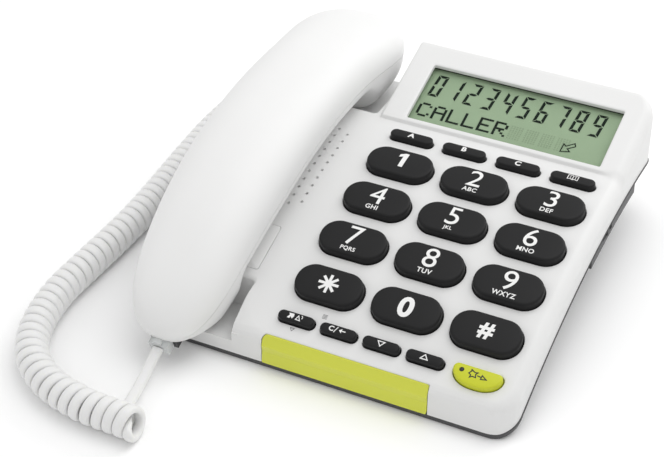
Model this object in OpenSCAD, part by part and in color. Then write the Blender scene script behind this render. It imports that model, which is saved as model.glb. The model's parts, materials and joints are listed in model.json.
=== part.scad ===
// Corded desk telephone with large keys: base, arched keypad, raised display,
// handset in its cradle, and the curly cord between handset and base.
// Millimetres, +Z up, +Y to the back, +X to the right as the user sees it.

/* [Base] */
// Width of the base
base_w = 148; // [130:1:170]
// Depth of the base, front to back
base_d = 158; // [150:1:180]
// Corner radius of the base in plan
corner_r = 10; // [6:0.5:14]
// Wall thickness of the plastic shells
wall = 2.4; // [1.8:0.1:3]
// Height of the white side wall, from the arched face down to the seam
side_h = 11.5; // [9:0.5:14]
// Height of the seam above the table at the front edge
front_seam_h = 3; // [2.5:0.5:5]
// How far the rubber feet lift the case off the table
foot_gap = 1.2; // [0.8:0.1:2]
// Slope of the undercut side walls of the lower case, from vertical
undercut_angle = 40; // [32:1:50]

/* [Arched face] */
// Radius of the arched face
face_r = 296; // [240:1:400]
// Slope of the face at the middle of the number keys
face_tilt = 13; // [8:0.5:16]
// Height of the face at the middle of the number keys
face_h = 33.5; // [30:0.5:40]
// Middle of the number keys, across the base
field_x = 23; // [18:0.5:28]
// Middle of the number keys, along the base
field_y = -23; // [-30:0.5:-18]

/* [Number keys] */
// Spacing of the number keys, side to side
key_pitch_x = 31; // [29:0.5:34]
// Spacing of the number keys, front to back
key_pitch_y = 21.7; // [19:0.1:24]
// Width of a number key
key_w = 26.6; // [22:0.1:28]
// Length of a number key, front to back
key_l = 14.8; // [12:0.1:17]
// Corner radius of a number key
key_r = 7; // [4:0.1:7.2]
// Height of a number key above the face
key_h = 3.4; // [2:0.1:5]
// Travel of every key
key_travel = 1.5; // [0.8:0.1:2]
// Gap round every key
key_gap = 0.35; // [0.2:0.05:0.6]

/* [Small keys] */
// Width of a memory key
memory_w = 17.8; // [14:0.1:20]
// Length of a memory key
memory_l = 4.8; // [4:0.1:6]
// Spacing of the memory keys
memory_pitch = 22.4; // [20.5:0.1:24]
// Distance of the memory keys behind the middle of the number keys
memory_s = 49.8; // [46:0.1:52]
// Width of a function key
function_w = 14.2; // [11:0.1:15]
// Length of a function key
function_l = 4; // [3.4:0.1:5.4]
// Spacing of the function keys
function_pitch = 17; // [16.5:0.1:19]
// Middle of the four function keys, across the base
function_x = 11.5; // [8:0.5:14]
// Distance of the function keys in front of the middle of the number keys
function_s = 49; // [46:0.1:51]
// Height of a small key above the face
small_key_h = 2.6; // [1.5:0.1:3.5]
// Width of the half-moon volume key
boost_w = 18; // [14:0.5:20]
// Length of the half-moon volume key
boost_l = 7.6; // [6:0.1:9]

/* [Display] */
// Slope of the display surround
display_tilt = 16.5; // [10:0.5:24]
// Left side of the display surround
display_left = -28.8; // [-32:0.2:-24]
// Front edge of the display surround
display_front = 36; // [34:0.5:40]
// Width of the window opening
window_w = 81.5; // [70:0.5:88]
// Length of the window opening, along the slope
window_l = 29.8; // [24:0.2:32]
// Height of the window's front edge above the table
window_front_z = 42.8; // [41.8:0.1:46]
// Strip between the surround's front edge and the window
window_margin = 2.4; // [2:0.1:5]
// How deep the window sits below the surround
window_recess = 1.6; // [1:0.1:3]

/* [Ringer bar] */
// Width of the light bar in the front edge
bar_w = 64.4; // [50:0.2:70]
// Middle of the light bar, across the base
bar_x = 9.7; // [4:0.1:14]
// Distance the bar reaches onto the face, from the front edge
bar_top = 2.6; // [1.5:0.1:3.5]

/* [Cradle] */
// Middle of the handset, across the base
handset_x = -58.5; // [-62:0.5:-56]
// Right side of the ear well
ear_well_x = -31.4; // [-33:0.2:-31]
// Front side of the ear well
ear_well_y = 38; // [36:0.5:41]
// Floor of the ear well above the table
ear_well_z = 30.4; // [28:0.2:32]
// Right side of the mouth well
mouth_well_x = -36.5; // [-40:0.5:-34]
// Back of the mouth well
mouth_well_y = -59; // [-61:0.5:-58]
// Floor of the mouth well above the table
mouth_well_z = 8; // [6:0.2:10]
// Depth of the finger trough under the handle
trough_depth = 6; // [3:0.5:8]
// Right side of the finger trough
trough_x = -47; // [-52:0.5:-45]

/* [Speaker holes] */
// Diameter of a speaker hole
hole_d = 1.2; // [0.8:0.1:2]
// Spacing of the speaker holes
hole_pitch = 4.6; // [3.5:0.1:6]
// Columns of speaker holes, alternately long and one hole shorter
hole_columns = 3; // [2:1:3]
// Holes in a long column
hole_count = 11; // [6:1:11]

/* [Handset] */
// Highest point of the seam between the handset shells
seam_top_z = 52.3; // [50:0.1:58]
// Place of that point along the base
seam_top_y = 20; // [10:0.5:30]
// Bend radius of the handset towards the mouth end
mouth_bend_r = 180; // [160:1:240]
// Bend radius of the handset towards the ear end
ear_bend_r = 280; // [220:1:400]
// Length of the mouth part, along the bend
mouth_len = 123; // [116:0.5:126]
// Length of the ear part, along the bend
ear_len = 75.7; // [72:0.1:80]
// Half width at the mouth end
mouth_half_w = 20.5; // [17:0.1:24]
// Half width of the handle
grip_half_w = 22; // [18:0.1:24]
// Half width at the ear end
ear_half_w = 25; // [22:0.1:26]
// Height of the upper shell above the seam
crown_h = 15.5; // [12:0.1:20]
// Depth of the lower shell below the seam, in the handle
grip_depth = 7; // [5:0.1:8]
// Shell thickness of the handset
handset_wall = 2; // [1.5:0.1:2.5]

/* [Cord] */
// Outer diameter of the curly cord
coil_d = 13; // [11:0.5:15]
// Width of the flat cord
cord_w = 4.2; // [3.5:0.1:5]

/* [Hidden] */

$fn = 48;
eps = 0.01;
big = 400;
fit_gap = 0.2;

// Arched face: one arc in the side view, whose centre lies far below the base
arc_y = field_y + face_r * sin(face_tilt);
arc_z = face_h - face_r * cos(face_tilt);
seam_r = face_r - side_h;
front_y = -79;
back_y = front_y + base_d;
mid_y = (front_y + back_y) / 2;
right_x = base_w / 2;
function face_z(y, r = face_r) = arc_z + sqrt(r * r - (y - arc_y) * (y - arc_y));
function face_angle(s) = face_tilt - s / face_r * 180 / PI;

// Key construction, measured down from the face along its normal
flange_t = 1;
flange_out = 0.8;
flange_gap = 0.3;
stem_r = 3;
pad_h = 0.8;
mat_t = 1.2;
board_t = 1.6;
press_gap = 0.4;
mat_depth = 12;
function stem_end(s) = mat_depth - pad_h - s * s / (2 * face_r) - key_travel - press_gap;
row_s = [1.5 * key_pitch_y, 0.5 * key_pitch_y, -0.5 * key_pitch_y, -1.5 * key_pitch_y];
memory_x0 = field_x - 1.5 * memory_pitch;
function_x0 = function_x - 1.5 * function_pitch;
boost_x = field_x + 34.1;
boost_s = -46.6;
boost_stem_s = boost_s - boost_l / 2;
lamp_r = 0.9;
lamp_dx = 3.2 - boost_w / 2;
lamp_dy = -2.6;

// Display surround
display_y = display_front + window_margin * cos(display_tilt);
window_x = field_x - 0.5;
lens_t = 1.4;
lens_lap = 1.6;
lcd_t = 2.8;
lcd_lap = 1;
holder_t = 3;

// Flat board and mat under the keys, in the frame of the face at the middle of the number keys
mat_x0 = -17;
mat_x1 = 61;
mat_y0 = -53.5;
mat_y1 = 55;

// Speaker grille and loudspeaker
grille_x = -35.9;
grille_s = 45.6;
speaker_r = 17;
speaker_x = -46;
speaker_y = 6;
speaker_z = 14;
speaker_h = 11.6;

// Index cover on the face beside the number keys
index_w = 30;
index_l = 21;
index_t = 1.2;
index_x = -37.6 - index_w / 2;
index_s = -23;

// Handset outline along its bend, and what it holds
ear_z = 31;
mouth_z = 8.6;
hs_rings = 34;
hs_half = 12;
ear_a = 48;
mic_a = -100;
handset_screw_a = [8, -54];

// Finger trough under the handle, and the hook plunger under the ear end
trough_y = -6;
plunger_x = -50;
plunger_y = 60;
plunger_r = 3;
plunger_low = 21;
plunger_top = ear_z - 0.4;
hook_block_h = 7;

// Connectors
jack_w = 11;
jack_h = 7.6;
jack_l = 13;
plug_w = 7.6;
plug_h = 5.8;
plug_l = 11.7;
plug_out = 4;
port_gap = 0.15;
base_jack_x = -47;
base_jack_z = 8.5;
line_x = 20;
line_z = 9;
line_w = 13.5;
line_h = 12;
line_l = 14;
port_w = 9.8;
port_h = 7;
port_l = 11;
plug_tilt = 22;
plug_mouth = [handset_x, -91, 10];
jack_sleeve = 1.4;

// Battery compartment in the floor
cell_d = 10.5;
cell_l = 44.5;
cell_pitch = 11.5;
cell_n = 3;
bay_x = 12;
bay_y = -14;
bay_w = cell_n * cell_pitch + 4;
bay_l = cell_l + 6;
door_t = 1.4;
door_slide = 10;
door_w = bay_w + 2;
door_l = bay_l + 2;
door_lip = 3;

floor_z = foot_gap;
floor_top = foot_gap + wall;
foot_r = 5;
foot_h = 2;
feet = [[-46, -62], [60, -66], [-46, back_y - 13], [44, back_y - 13]];
screws = [[-30, -56], [-30, 32], [40, back_y - 9], [-8, back_y - 9]];
screw_r = 1.4;
screw_head_r = 2.8;
screw_head_h = 1.8;
boss_r = 4;
boss_split_z = 12;

// Side rail of the lower case, with the slide switch of the ringer
rail_y0 = 6;
rail_y1 = 58;
rail_h = 8.5;
rail_x = right_x - 1;
rail_root_x = right_x - 11;
slide_y = 24;
slide_l = 6;
slide_travel = 4;
slide_h = 3.4;
slide_z = face_z(slide_y, seam_r) - rail_h / 2;

// Cord routes, round numbers along the table top
coil_r = coil_d / 2;
cord_t = 2.6;
coil_route = [[-46, -132], [-54, -131.5], [-68, -131], [-83, -127.5], [-95, -120.5], [-103, -111],
  [-108, -98], [-110.5, -81], [-110, -63], [-109, -45], [-108.5, -28], [-109, -10], [-110, 8],
  [-111, 26], [-111.5, 44], [-110.5, 62], [-106.5, 79], [-98, 94], [-85, 104], [-70, 108]];
coil_z = coil_r + 0.1;
handset_tail_route = [[-58.5, -95, 8.4], [-58.4, -98, 7.1], [-58.1, -102, 5.8], [-57.6, -106, 5],
  [-56.8, -111, 4.6], [-55.8, -116, 4.9], [-54.8, -120.6, 5.6], [-54, -125.2, 6.4]];
base_tail_route = [[-70, 108, 6.6], [-65.5, 107.8, 6], [-60, 106.5, 5.6], [-54, 103.5, 5.8],
  [-49.8, 98.5, 6.6], [-47.6, 93, 7.6], [-47, 88, 8.3], [-47, 82.6, 8.5]];

// Origin: bottom centre of the box round the base and the handset
hs_ys = [for (i = [0:hs_rings], p = hs_ring(hs_a(i), 0, true, 0)) p[1]];
hs_lys = [for (i = [0:hs_rings], p = hs_ring(hs_a(i), 0, false, 0)) p[1]];
hs_min_y = min(min(hs_ys), min(hs_lys));
hs_max_y = max(max(hs_ys), max(hs_lys));
hs_min_x = handset_x - max([for (i = [0:hs_rings]) hs_w(hs_a(i))]);
origin_x = (right_x + hs_min_x) / 2;
origin_y = (min(hs_min_y, front_y) + max(hs_max_y, back_y)) / 2;

// ---------- handset shape ----------
function smooth(t) = t <= 0 ? 0 : t >= 1 ? 1 : t * t * (3 - 2 * t);
function ramp(a, a0, a1) = smooth((a - a0) / (a1 - a0));
// Place of ring i along the bend, closer together near the ends
function hs_t(i) = let (u = 2 * i / hs_rings - 1) sign(u) * (1 - pow(1 - abs(u), 1.7));
function hs_a(i) = let (t = hs_t(i)) t < 0 ? t * mouth_len : t * ear_len;
function hs_bend(a) = a < 0 ? mouth_bend_r : ear_bend_r;
function hs_phi(a) = a / hs_bend(a) * 180 / PI;
// Rounding of the ends: 1 over the middle, falling to nearly 0 at each tip
function hs_end(a, p) = let (t = a < 0 ? -a / mouth_len : a / ear_len)
  pow(max(1 - pow(min(t, 0.995), a < 0 ? p * 2.2 : p * 1.5), 0), 1 / 2.3);
function hs_w(a) = hs_end(a, 3.2) * (grip_half_w
  + (ear_half_w - grip_half_w) * ramp(a, 15, 60)
  + (mouth_half_w - grip_half_w) * ramp(-a, 40, 100));
function hs_h(a) = hs_end(a, 2.8) * crown_h;
function hs_seam(a) = let (r = hs_bend(a), f = hs_phi(a))
  [seam_top_y + r * sin(f), seam_top_z - r * (1 - cos(f))];
// Depth below the seam: the ear and mouth pieces drop into their wells
function hs_d(a) = let (c = hs_seam(a), f = hs_phi(a),
    ear = ramp(a, 22, 34) * max(0, (c[1] - ear_z) / cos(f) - grip_depth),
    mouth = ramp(-a, 86, 100) * max(0, (c[1] - mouth_z) / cos(f) - grip_depth))
  hs_end(a, 3) * (grip_depth + min(ear, 16) + min(mouth, 9));
function power(v, n) = sign(v) * pow(abs(v), n);
// One half ring: from the right seam edge, over the crown or under the belly, to the left seam edge
function hs_ring(a, inset, top, lap) = let (c = hs_seam(a), f = hs_phi(a),
    w = max(hs_w(a) - inset, 0.4), h = max((top ? hs_h(a) : hs_d(a)) - inset, 0.3),
    e = top ? 2 / 2.35 : 2 / 3.4, side = top ? 1 : -1)
  [for (k = [0:hs_half]) let (q = 180 * k / hs_half, v = side * (h * power(sin(q), e)))
    [handset_x + w * power(cos(q), e), c[0] + v * sin(f), c[1] + v * cos(f)],
   if (lap > 0) [handset_x - w, c[0] - side * lap * sin(f), c[1] - side * lap * cos(f)],
   if (lap > 0) [handset_x + w, c[0] - side * lap * sin(f), c[1] - side * lap * cos(f)]];

// Solid lofted through rings of equal length; flip turns the faces the other way round
module loft(rings, flip = false) {
  n = len(rings);
  m = len(rings[0]);
  points = [for (r = rings, p = r) p];
  skin = [for (i = [0:n - 2], k = [0:m - 1])
    [i * m + k, i * m + (k + 1) % m, (i + 1) * m + (k + 1) % m, (i + 1) * m + k]];
  tris = [for (q = skin) each [[q[0], q[1], q[2]], [q[0], q[2], q[3]]]];
  first = [for (k = [m - 1:-1:0]) k];
  last = [for (k = [0:m - 1]) (n - 1) * m + k];
  faces = concat(tris, [first], [last]);
  polyhedron(points, flip ? [for (f = faces) [for (k = [len(f) - 1:-1:0]) f[k]]] : faces, convexity = 6);
}

module handset_half(top, inset = 0, lap = 0) {
  skip = inset > 0 ? 3 : 0;
  rings = [for (i = [skip:hs_rings - skip]) hs_ring(hs_a(i), inset, top, lap)];
  loft(rings, !top);
}

// Everything in the base's own coordinates is moved so that the origin falls at the box's bottom centre
module placed() {
  translate([-origin_x, -origin_y, 0]) children();
}

// ---------- shared shapes ----------
module round_rect(w, l, r) {
  union() {
    square([w - 2 * r, l], center = true);
    square([w, l - 2 * r], center = true);
    for (x = [-1, 1], y = [-1, 1]) translate([x * (w / 2 - r), y * (l / 2 - r)]) circle(r);
  }
}

// Half-moon outline: flat at the back, round at the front
module half_moon(w, l, grow = 0) {
  r = (w * w / 4 + l * l) / (2 * l);
  intersection() {
    translate([0, r - l]) circle(r + grow, $fn = 96);
    translate([-w / 2 - grow, -l - grow]) square([w + 2 * grow, l + 2 * grow]);
  }
}

// Block that covers the plan of the base, with rounded corners
module plan(inset = 0, h = 120) {
  translate([0, mid_y, 0]) linear_extrude(h)
    round_rect(base_w - 2 * inset, base_d - 2 * inset, corner_r - min(inset, corner_r - 2));
}

// Cylinder along X whose top is the arched face, or an arc parallel to it
module arch(r, x0 = -big / 2, x1 = big / 2) {
  translate([x0, arc_y, arc_z]) rotate([0, 90, 0]) cylinder(r = r, h = x1 - x0, $fn = 360);
}

module box(x0, x1, y0, y1, z0, z1) {
  translate([x0, y0, z0]) cube([x1 - x0, y1 - y0, z1 - z0]);
}

// Places children on the arched face: local Z is its normal, local Y points up the slope
module on_face(x, s, lift = 0) {
  translate([x, arc_y, arc_z]) rotate([face_angle(s), 0, 0]) translate([0, 0, face_r + lift]) children();
}

// Places children on the display surround, with the origin in the middle of the window's front edge
module on_display(lift = 0) {
  translate([window_x, display_y, window_front_z]) rotate([display_tilt, 0, 0])
    translate([0, 0, lift]) children();
}

// ---------- upper housing ----------
module display_block(inset) {
  intersection() {
    plan(inset);
    box(display_left + inset, big, display_front + inset, big, 0, 120);
    translate([0, display_y, window_front_z]) rotate([display_tilt, 0, 0])
      translate([-big / 2, -big / 2, -big - inset]) cube([big, big, big]);
  }
}

module below_seam(extra = 0) {
  union() {
    arch(seam_r + extra);
    box(-big, big, -big, big, -10, front_seam_h + extra);
  }
}

module shelf(x1, y0, y1, z) {
  intersection() {
    plan();
    union() {
      box(-big, x1 + wall, y0, y1, z - wall, z);
      box(x1, x1 + wall, y0, y1, z - wall, 60);
      if (y0 > 0) box(-big, x1 + wall, y0 - wall, y0, z - wall, 60);
      if (y0 < 0) box(-big, x1 + wall, y1, y1 + wall, z - wall, 60);
    }
    arch(face_r);
  }
}

module face_cuts() {
  cut_depth = wall + 4;
  for (i = [0:3], j = [0:2]) on_face(field_x + (j - 1) * key_pitch_x, row_s[i], -cut_depth)
    linear_extrude(2 * cut_depth) round_rect(key_w + 2 * key_gap, key_l + 2 * key_gap, key_r + key_gap);
  for (i = [0:3]) on_face(memory_x0 + i * memory_pitch, memory_s, -cut_depth)
    linear_extrude(2 * cut_depth) round_rect(memory_w + 2 * key_gap, memory_l + 2 * key_gap,
      memory_l / 2 - 0.1 + key_gap);
  for (i = [0:3]) on_face(function_x0 + i * function_pitch, -function_s, -cut_depth)
    linear_extrude(2 * cut_depth) round_rect(function_w + 2 * key_gap, function_l + 2 * key_gap,
      function_l / 2 - 0.1 + key_gap);
  on_face(boost_x, boost_s, -cut_depth) linear_extrude(2 * cut_depth) half_moon(boost_w, boost_l, key_gap);
  for (c = [0:hole_columns - 1], i = [0:hole_count - 2 + c % 2])
    on_face(grille_x - c * hole_pitch, grille_s - (i + (c + 1) % 2 / 2) * hole_pitch,
      -trough_depth - cut_depth)
      cylinder(d = hole_d, h = 2 * trough_depth + 2 * cut_depth, $fn = 16);
}

module bar_profile(grow = 0) {
  top_z = face_z(front_y + bar_top);
  foot_z = max(front_seam_h, face_z(front_y + wall, seam_r)) + fit_gap - grow;
  polygon([[front_y + bar_top + grow, top_z - 4], [front_y + bar_top + grow, top_z + grow],
    [front_y + 1.2, top_z - 0.5 + grow], [front_y - 0.4 - grow, top_z - 3.6],
    [front_y - 0.7 - grow, top_z - 7.4], [front_y - 0.3 - grow, foot_z],
    [front_y + wall, foot_z], [front_y + wall, top_z - 4]]);
}

module ringer_bar() {
  color([0.80, 0.85, 0.25]) placed() translate([bar_x - bar_w / 2, 0, 0]) rotate([90, 0, 90])
    linear_extrude(bar_w) bar_profile();
}

module upper_housing() {
  color([0.93, 0.93, 0.92]) placed() difference() {
    union() {
      difference() {
        union() {
          difference() {
            intersection() {
              plan();
              arch(face_r);
            }
            intersection() {
              plan(wall);
              arch(face_r - wall);
            }
          }
          difference() {
            display_block(0);
            arch(face_r - wall);
          }
        }
        display_block(wall);
        below_seam();
      }
      shelf(ear_well_x, ear_well_y, back_y, ear_well_z);
      shelf(mouth_well_x, front_y, mouth_well_y, mouth_well_z);
      intersection() {
        box(-right_x, trough_x + wall, trough_y - wall, ear_well_y, 20, 60);
        plan();
        difference() {
          arch(face_r);
          arch(face_r - trough_depth - wall);
        }
      }
      for (p = screws) upper_boss(p);
      speaker_ring();
    }
    box(-big, ear_well_x, ear_well_y, big, ear_well_z, 120);
    box(-big, mouth_well_x, -big, mouth_well_y, mouth_well_z, 120);
    intersection() {
      box(-big, trough_x, trough_y, ear_well_y + 1, 20, 60);
      difference() {
        arch(face_r + 20);
        arch(face_r - trough_depth);
      }
    }
    face_cuts();
    on_face(index_x, index_s, -index_t - fit_gap) linear_extrude(10)
      square([index_w + 2 * fit_gap, index_l + 2 * fit_gap], center = true);
    on_display(-wall - 2) translate([-window_w / 2, 0, 0]) cube([window_w, window_l, wall + 6]);
    on_display(-window_recess - lens_t - fit_gap - 5)
      translate([-window_w / 2 - lens_lap - fit_gap, -lens_lap - fit_gap, 0])
      cube([window_w + 2 * (lens_lap + fit_gap), window_l + 2 * (lens_lap + fit_gap),
        lens_t + fit_gap + 5]);
    translate([bar_x - bar_w / 2 - fit_gap, 0, 0]) rotate([90, 0, 90]) linear_extrude(bar_w + 2 * fit_gap)
      bar_profile(fit_gap);
    translate([plunger_x, plunger_y, 0]) cylinder(r = plunger_r + 0.4, h = 60);
    for (p = screws) translate([p[0], p[1], 0]) cylinder(r = screw_r + 0.05, h = boss_split_z + 8);
  }
}

// Screw boss; the rear ones stop short of the display and are ribbed to the rear wall
module upper_boss(p) {
  rib_t = 2;
  rib_z0 = face_z(back_y - wall, seam_r) + 2.33;
  boss_z0 = boss_split_z + fit_gap;
  boss_top = p[1] > display_front ? rib_z0 + 6 : 60;
  intersection() {
    union() {
      translate([p[0], p[1], boss_z0]) cylinder(r = boss_r, h = boss_top - boss_z0);
      if (p[1] > display_front)
        box(p[0] - rib_t / 2, p[0] + rib_t / 2, p[1], back_y - wall / 2, rib_z0, boss_top);
    }
    arch(face_r - wall / 2);
  }
}

// Collar that presses the rim of the loudspeaker down
module speaker_ring() {
  intersection() {
    translate([speaker_x, speaker_y, speaker_z + speaker_h]) difference() {
      cylinder(r = speaker_r + 1, h = 30);
      translate([0, 0, -1]) cylinder(r = speaker_r - 1, h = 40);
    }
    arch(face_r - wall / 2);
  }
}

// ---------- lower housing ----------
// Cone whose surface runs from the seam inwards and down: takes the undercut out of one side
module undercut(side, shift = 0) {
  run = 34;
  rise = run / tan(undercut_angle);
  x1 = right_x - 0.6;
  mirror([side < 0 ? 1 : 0, 0, 0]) translate([x1 - run - shift, arc_y, arc_z]) rotate([0, 90, 0])
    cylinder(r1 = seam_r - 1 - rise, r2 = seam_r - 1, h = run, $fn = 360);
  mirror([side < 0 ? 1 : 0, 0, 0]) translate([x1 - shift, arc_y, arc_z]) rotate([0, 90, 0])
    cylinder(r = seam_r - 1, h = run, $fn = 360);
}

module lower_outer() {
  difference() {
    intersection() {
      plan(0.5);
      union() {
        arch(seam_r - fit_gap);
        box(-big, big, -big, big, 0, front_seam_h - 0.1);
      }
      box(-big, big, -big, big, floor_z, 80);
    }
    for (side = [-1, 1]) undercut(side);
  }
}

module lower_housing() {
  color([0.33, 0.33, 0.34]) placed() difference() {
    union() {
      difference() {
        lower_outer();
        difference() {
          intersection() {
            plan(wall + 0.5);
            box(-big, big, -big, big, floor_top, 80);
          }
          for (side = [-1, 1]) undercut(side, wall * 1.4);
        }
      }
      intersection() {
        box(rail_root_x, rail_x, rail_y0, rail_y1, floor_z, 80);
        difference() {
          arch(seam_r - fit_gap);
          arch(seam_r - rail_h);
        }
      }
      intersection() {
        union() {
          translate([bay_x - bay_w / 2 - wall, bay_y - bay_l / 2 - wall, floor_z])
            cube([bay_w + 2 * wall, bay_l + 2 * wall, cell_d + 2]);
          for (p = screws) translate([p[0], p[1], floor_z])
            cylinder(r = boss_r, h = boss_split_z - floor_z);
          translate([base_jack_x - jack_w / 2 - 1.6, back_y - jack_l - 3, floor_z])
            cube([jack_w + 3.2, 2, 4]);
          box(plunger_x + 1, plunger_x + 6, plunger_y - 4, plunger_y + 4, floor_z,
            plunger_low - 1 - hook_block_h);
        }
        arch(seam_r - 2);
      }
    }
    translate([bay_x - bay_w / 2, bay_y - bay_l / 2, floor_z + door_t + fit_gap])
      cube([bay_w, bay_l, cell_d + 4]);
    translate([bay_x - bay_w / 2 + door_lip, bay_y - bay_l / 2 + door_lip, floor_z - 1])
      cube([bay_w - 2 * door_lip, bay_l - 2 * door_lip, 8]);
    translate([bay_x - door_w / 2 - fit_gap, bay_y - door_l / 2 - fit_gap - door_slide, floor_z - 1])
      cube([door_w + 2 * fit_gap, door_l + door_slide + 2 * fit_gap, door_t + 1 + fit_gap]);
    for (p = screws) {
      translate([p[0], p[1], 0]) cylinder(r = screw_r + 0.15, h = 40);
      translate([p[0], p[1], 0]) cylinder(r = screw_head_r + 0.3, h = floor_z + 1 + screw_head_h);
    }
    for (p = feet) translate([p[0], p[1], 0]) cylinder(r = foot_r + 0.1, h = foot_h);
    box(-big, ear_well_x + wall + fit_gap, ear_well_y - wall - fit_gap, big,
      ear_well_z - wall - fit_gap, 80);
    box(-big, mouth_well_x + wall + fit_gap, -big, mouth_well_y + wall + fit_gap,
      mouth_well_z - wall - fit_gap, 80);
    box(base_jack_x - jack_w / 2 - 0.1, base_jack_x + jack_w / 2 + 0.1, back_y - jack_l, big,
      base_jack_z - jack_h / 2 - 0.1, base_jack_z + jack_h / 2 + 0.1);
    box(line_x - line_w / 2 - 0.1, line_x + line_w / 2 + 0.1, back_y - line_l, big,
      line_z - line_h / 2 - 0.1, line_z + line_h / 2 + 0.1);
    box(rail_x - 4.2, big, slide_y - slide_l / 2 - slide_travel / 2 - 0.4,
      slide_y + slide_l / 2 + slide_travel / 2 + 0.4,
      slide_z - slide_h / 2 - 0.3, slide_z + slide_h / 2 + 0.3);
  }
}

// ---------- display ----------
module display_window() {
  color([0.85, 0.95, 0.88, 0.4]) placed() on_display(-window_recess - lens_t)
    translate([-window_w / 2 - lens_lap, -lens_lap, 0])
    cube([window_w + 2 * lens_lap, window_l + 2 * lens_lap, lens_t]);
}

module lcd_panel() {
  color([0.62, 0.72, 0.56]) placed() on_display(-window_recess - lens_t - 0.3 - lcd_t)
    translate([-window_w / 2 - lcd_lap, -lcd_lap, 0])
    cube([window_w + 2 * lcd_lap, window_l + 2 * lcd_lap, lcd_t]);
}

module lcd_holder() {
  grow = 5;
  lap_y = 3;
  color([0.20, 0.20, 0.21]) placed() difference() {
    on_display(-window_recess - lens_t - 0.4 - lcd_t - holder_t + 1.4)
      translate([-window_w / 2 - grow, -lap_y, 0])
      cube([window_w + 2 * grow, window_l + 2 * lap_y, holder_t]);
    on_display(-window_recess - lens_t - 0.4 - lcd_t)
      translate([-window_w / 2 - lcd_lap - 0.1, -lcd_lap - 0.1, 0])
      cube([window_w + 2 * lcd_lap + 0.2, window_l + 2 * lcd_lap + 0.2, 20]);
    on_display(-30) translate([-window_w / 2 + 6, 4, 0]) cube([window_w - 12, window_l - 8, 40]);
  }
}

// ---------- keys ----------
// The place and the outline number of each key: 0 number key, 1 memory key, 2 function key
function key_outline(kind) = kind == 0 ? [key_w, key_l, key_r]
  : kind == 1 ? [memory_w, memory_l, memory_l / 2 - 0.1]
  : [function_w, function_l, function_l / 2 - 0.1];

// A pressed key's flange has to stay clear of its neighbours and of the mat
module key(x, s, kind) {
  o = key_outline(kind);
  h = kind == 0 ? key_h : small_key_h;
  rim = kind == 0 ? 0.8 : 0.5;
  under = wall + flange_gap;
  color([0.16, 0.16, 0.17]) placed() on_face(x, s) union() {
    translate([0, 0, -under - flange_t]) linear_extrude(under + flange_t + h - rim)
      round_rect(o[0], o[1], o[2]);
    linear_extrude(h) round_rect(o[0] - 2 * rim, o[1] - 2 * rim, o[2] - rim);
    translate([0, 0, -under - flange_t]) linear_extrude(flange_t)
      round_rect(o[0] + 2 * flange_out, o[1] + 2 * flange_out, o[2] + flange_out);
    translate([0, 0, -stem_end(s)]) cylinder(r = min(stem_r, o[1] / 2 - 0.3), h = stem_end(s));
  }
}

module number_key(row, column) {
  key(field_x + column * key_pitch_x, row_s[row], 0);
}

module boost_key() {
  under = wall + flange_gap;
  color([0.80, 0.84, 0.20]) placed() on_face(boost_x, boost_s) difference() {
    union() {
      translate([0, 0, -under - flange_t]) linear_extrude(under + flange_t + small_key_h - 0.5)
        half_moon(boost_w, boost_l);
      linear_extrude(small_key_h) translate([0, -0.5]) half_moon(boost_w - 2, boost_l - 1);
      translate([0, 0, -under - flange_t]) linear_extrude(flange_t) half_moon(boost_w, boost_l, 0.6);
      translate([0, -boost_l / 2, -stem_end(boost_stem_s)]) cylinder(r = 2.2, h = stem_end(boost_stem_s));
    }
    translate([lamp_dx, lamp_dy, -20]) cylinder(r = lamp_r + 0.02, h = 40);
  }
}

module boost_lamp() {
  color([0.10, 0.12, 0.05]) placed() on_face(boost_x, boost_s)
    translate([lamp_dx, lamp_dy, -wall]) cylinder(r = lamp_r, h = wall + small_key_h - 0.1);
}

// ---------- boards ----------
// Frame of the flat board under the keys: parallel to the face at the middle of the number keys
module on_board(depth) {
  translate([0, field_y, face_h]) rotate([face_tilt, 0, 0]) translate([0, 0, -depth]) children();
}

function pad_y(s) = (face_r - stem_end(s)) * sin(s / face_r * 180 / PI);

module key_mat() {
  color([0.75, 0.75, 0.73]) placed() on_board(mat_depth) union() {
    translate([mat_x0, mat_y0, -mat_t]) cube([mat_x1 - mat_x0, mat_y1 - mat_y0, mat_t]);
    for (i = [0:3]) {
      for (j = [0:2]) translate([field_x + (j - 1) * key_pitch_x, pad_y(row_s[i]), -eps])
        cylinder(r = stem_r, h = pad_h);
      translate([memory_x0 + i * memory_pitch, pad_y(memory_s), -eps]) cylinder(r = 1.6, h = pad_h);
      translate([function_x0 + i * function_pitch, pad_y(-function_s), -eps]) cylinder(r = 1.4, h = pad_h);
    }
    translate([boost_x, pad_y(boost_s) - boost_l / 2, -eps]) cylinder(r = 1.8, h = pad_h);
  }
}

module main_board() {
  color([0.10, 0.36, 0.20]) placed() on_board(mat_depth + mat_t + 0.05)
    translate([mat_x0 - 1, mat_y0, -board_t]) cube([mat_x1 - mat_x0 + 2, mat_y1 - mat_y0, board_t]);
}

module ringer_leds() {
  led_n = 3;
  color([0.9, 0.9, 0.85]) placed() union() {
    translate([bar_x - bar_w / 2 + 4, front_y + wall + 2.4, front_seam_h + 1.6]) cube([bar_w - 8, 1, 7]);
    for (i = [0:led_n - 1]) translate([bar_x + (i - 1) * bar_w / led_n - 1.5, front_y + wall + 1.2,
      front_seam_h + 3.6]) cube([3, 1.3, 3]);
  }
}

// ---------- sound and hook switch ----------
module loudspeaker() {
  magnet_r = 10;
  magnet_h = 6;
  rim_h = 1.6;
  color([0.25, 0.25, 0.26]) placed() translate([speaker_x, speaker_y, speaker_z]) union() {
    cylinder(r = magnet_r, h = magnet_h);
    translate([0, 0, magnet_h]) cylinder(r1 = magnet_r, r2 = speaker_r, h = speaker_h - magnet_h - rim_h);
    translate([0, 0, speaker_h - rim_h]) cylinder(r = speaker_r, h = rim_h);
  }
}

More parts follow.
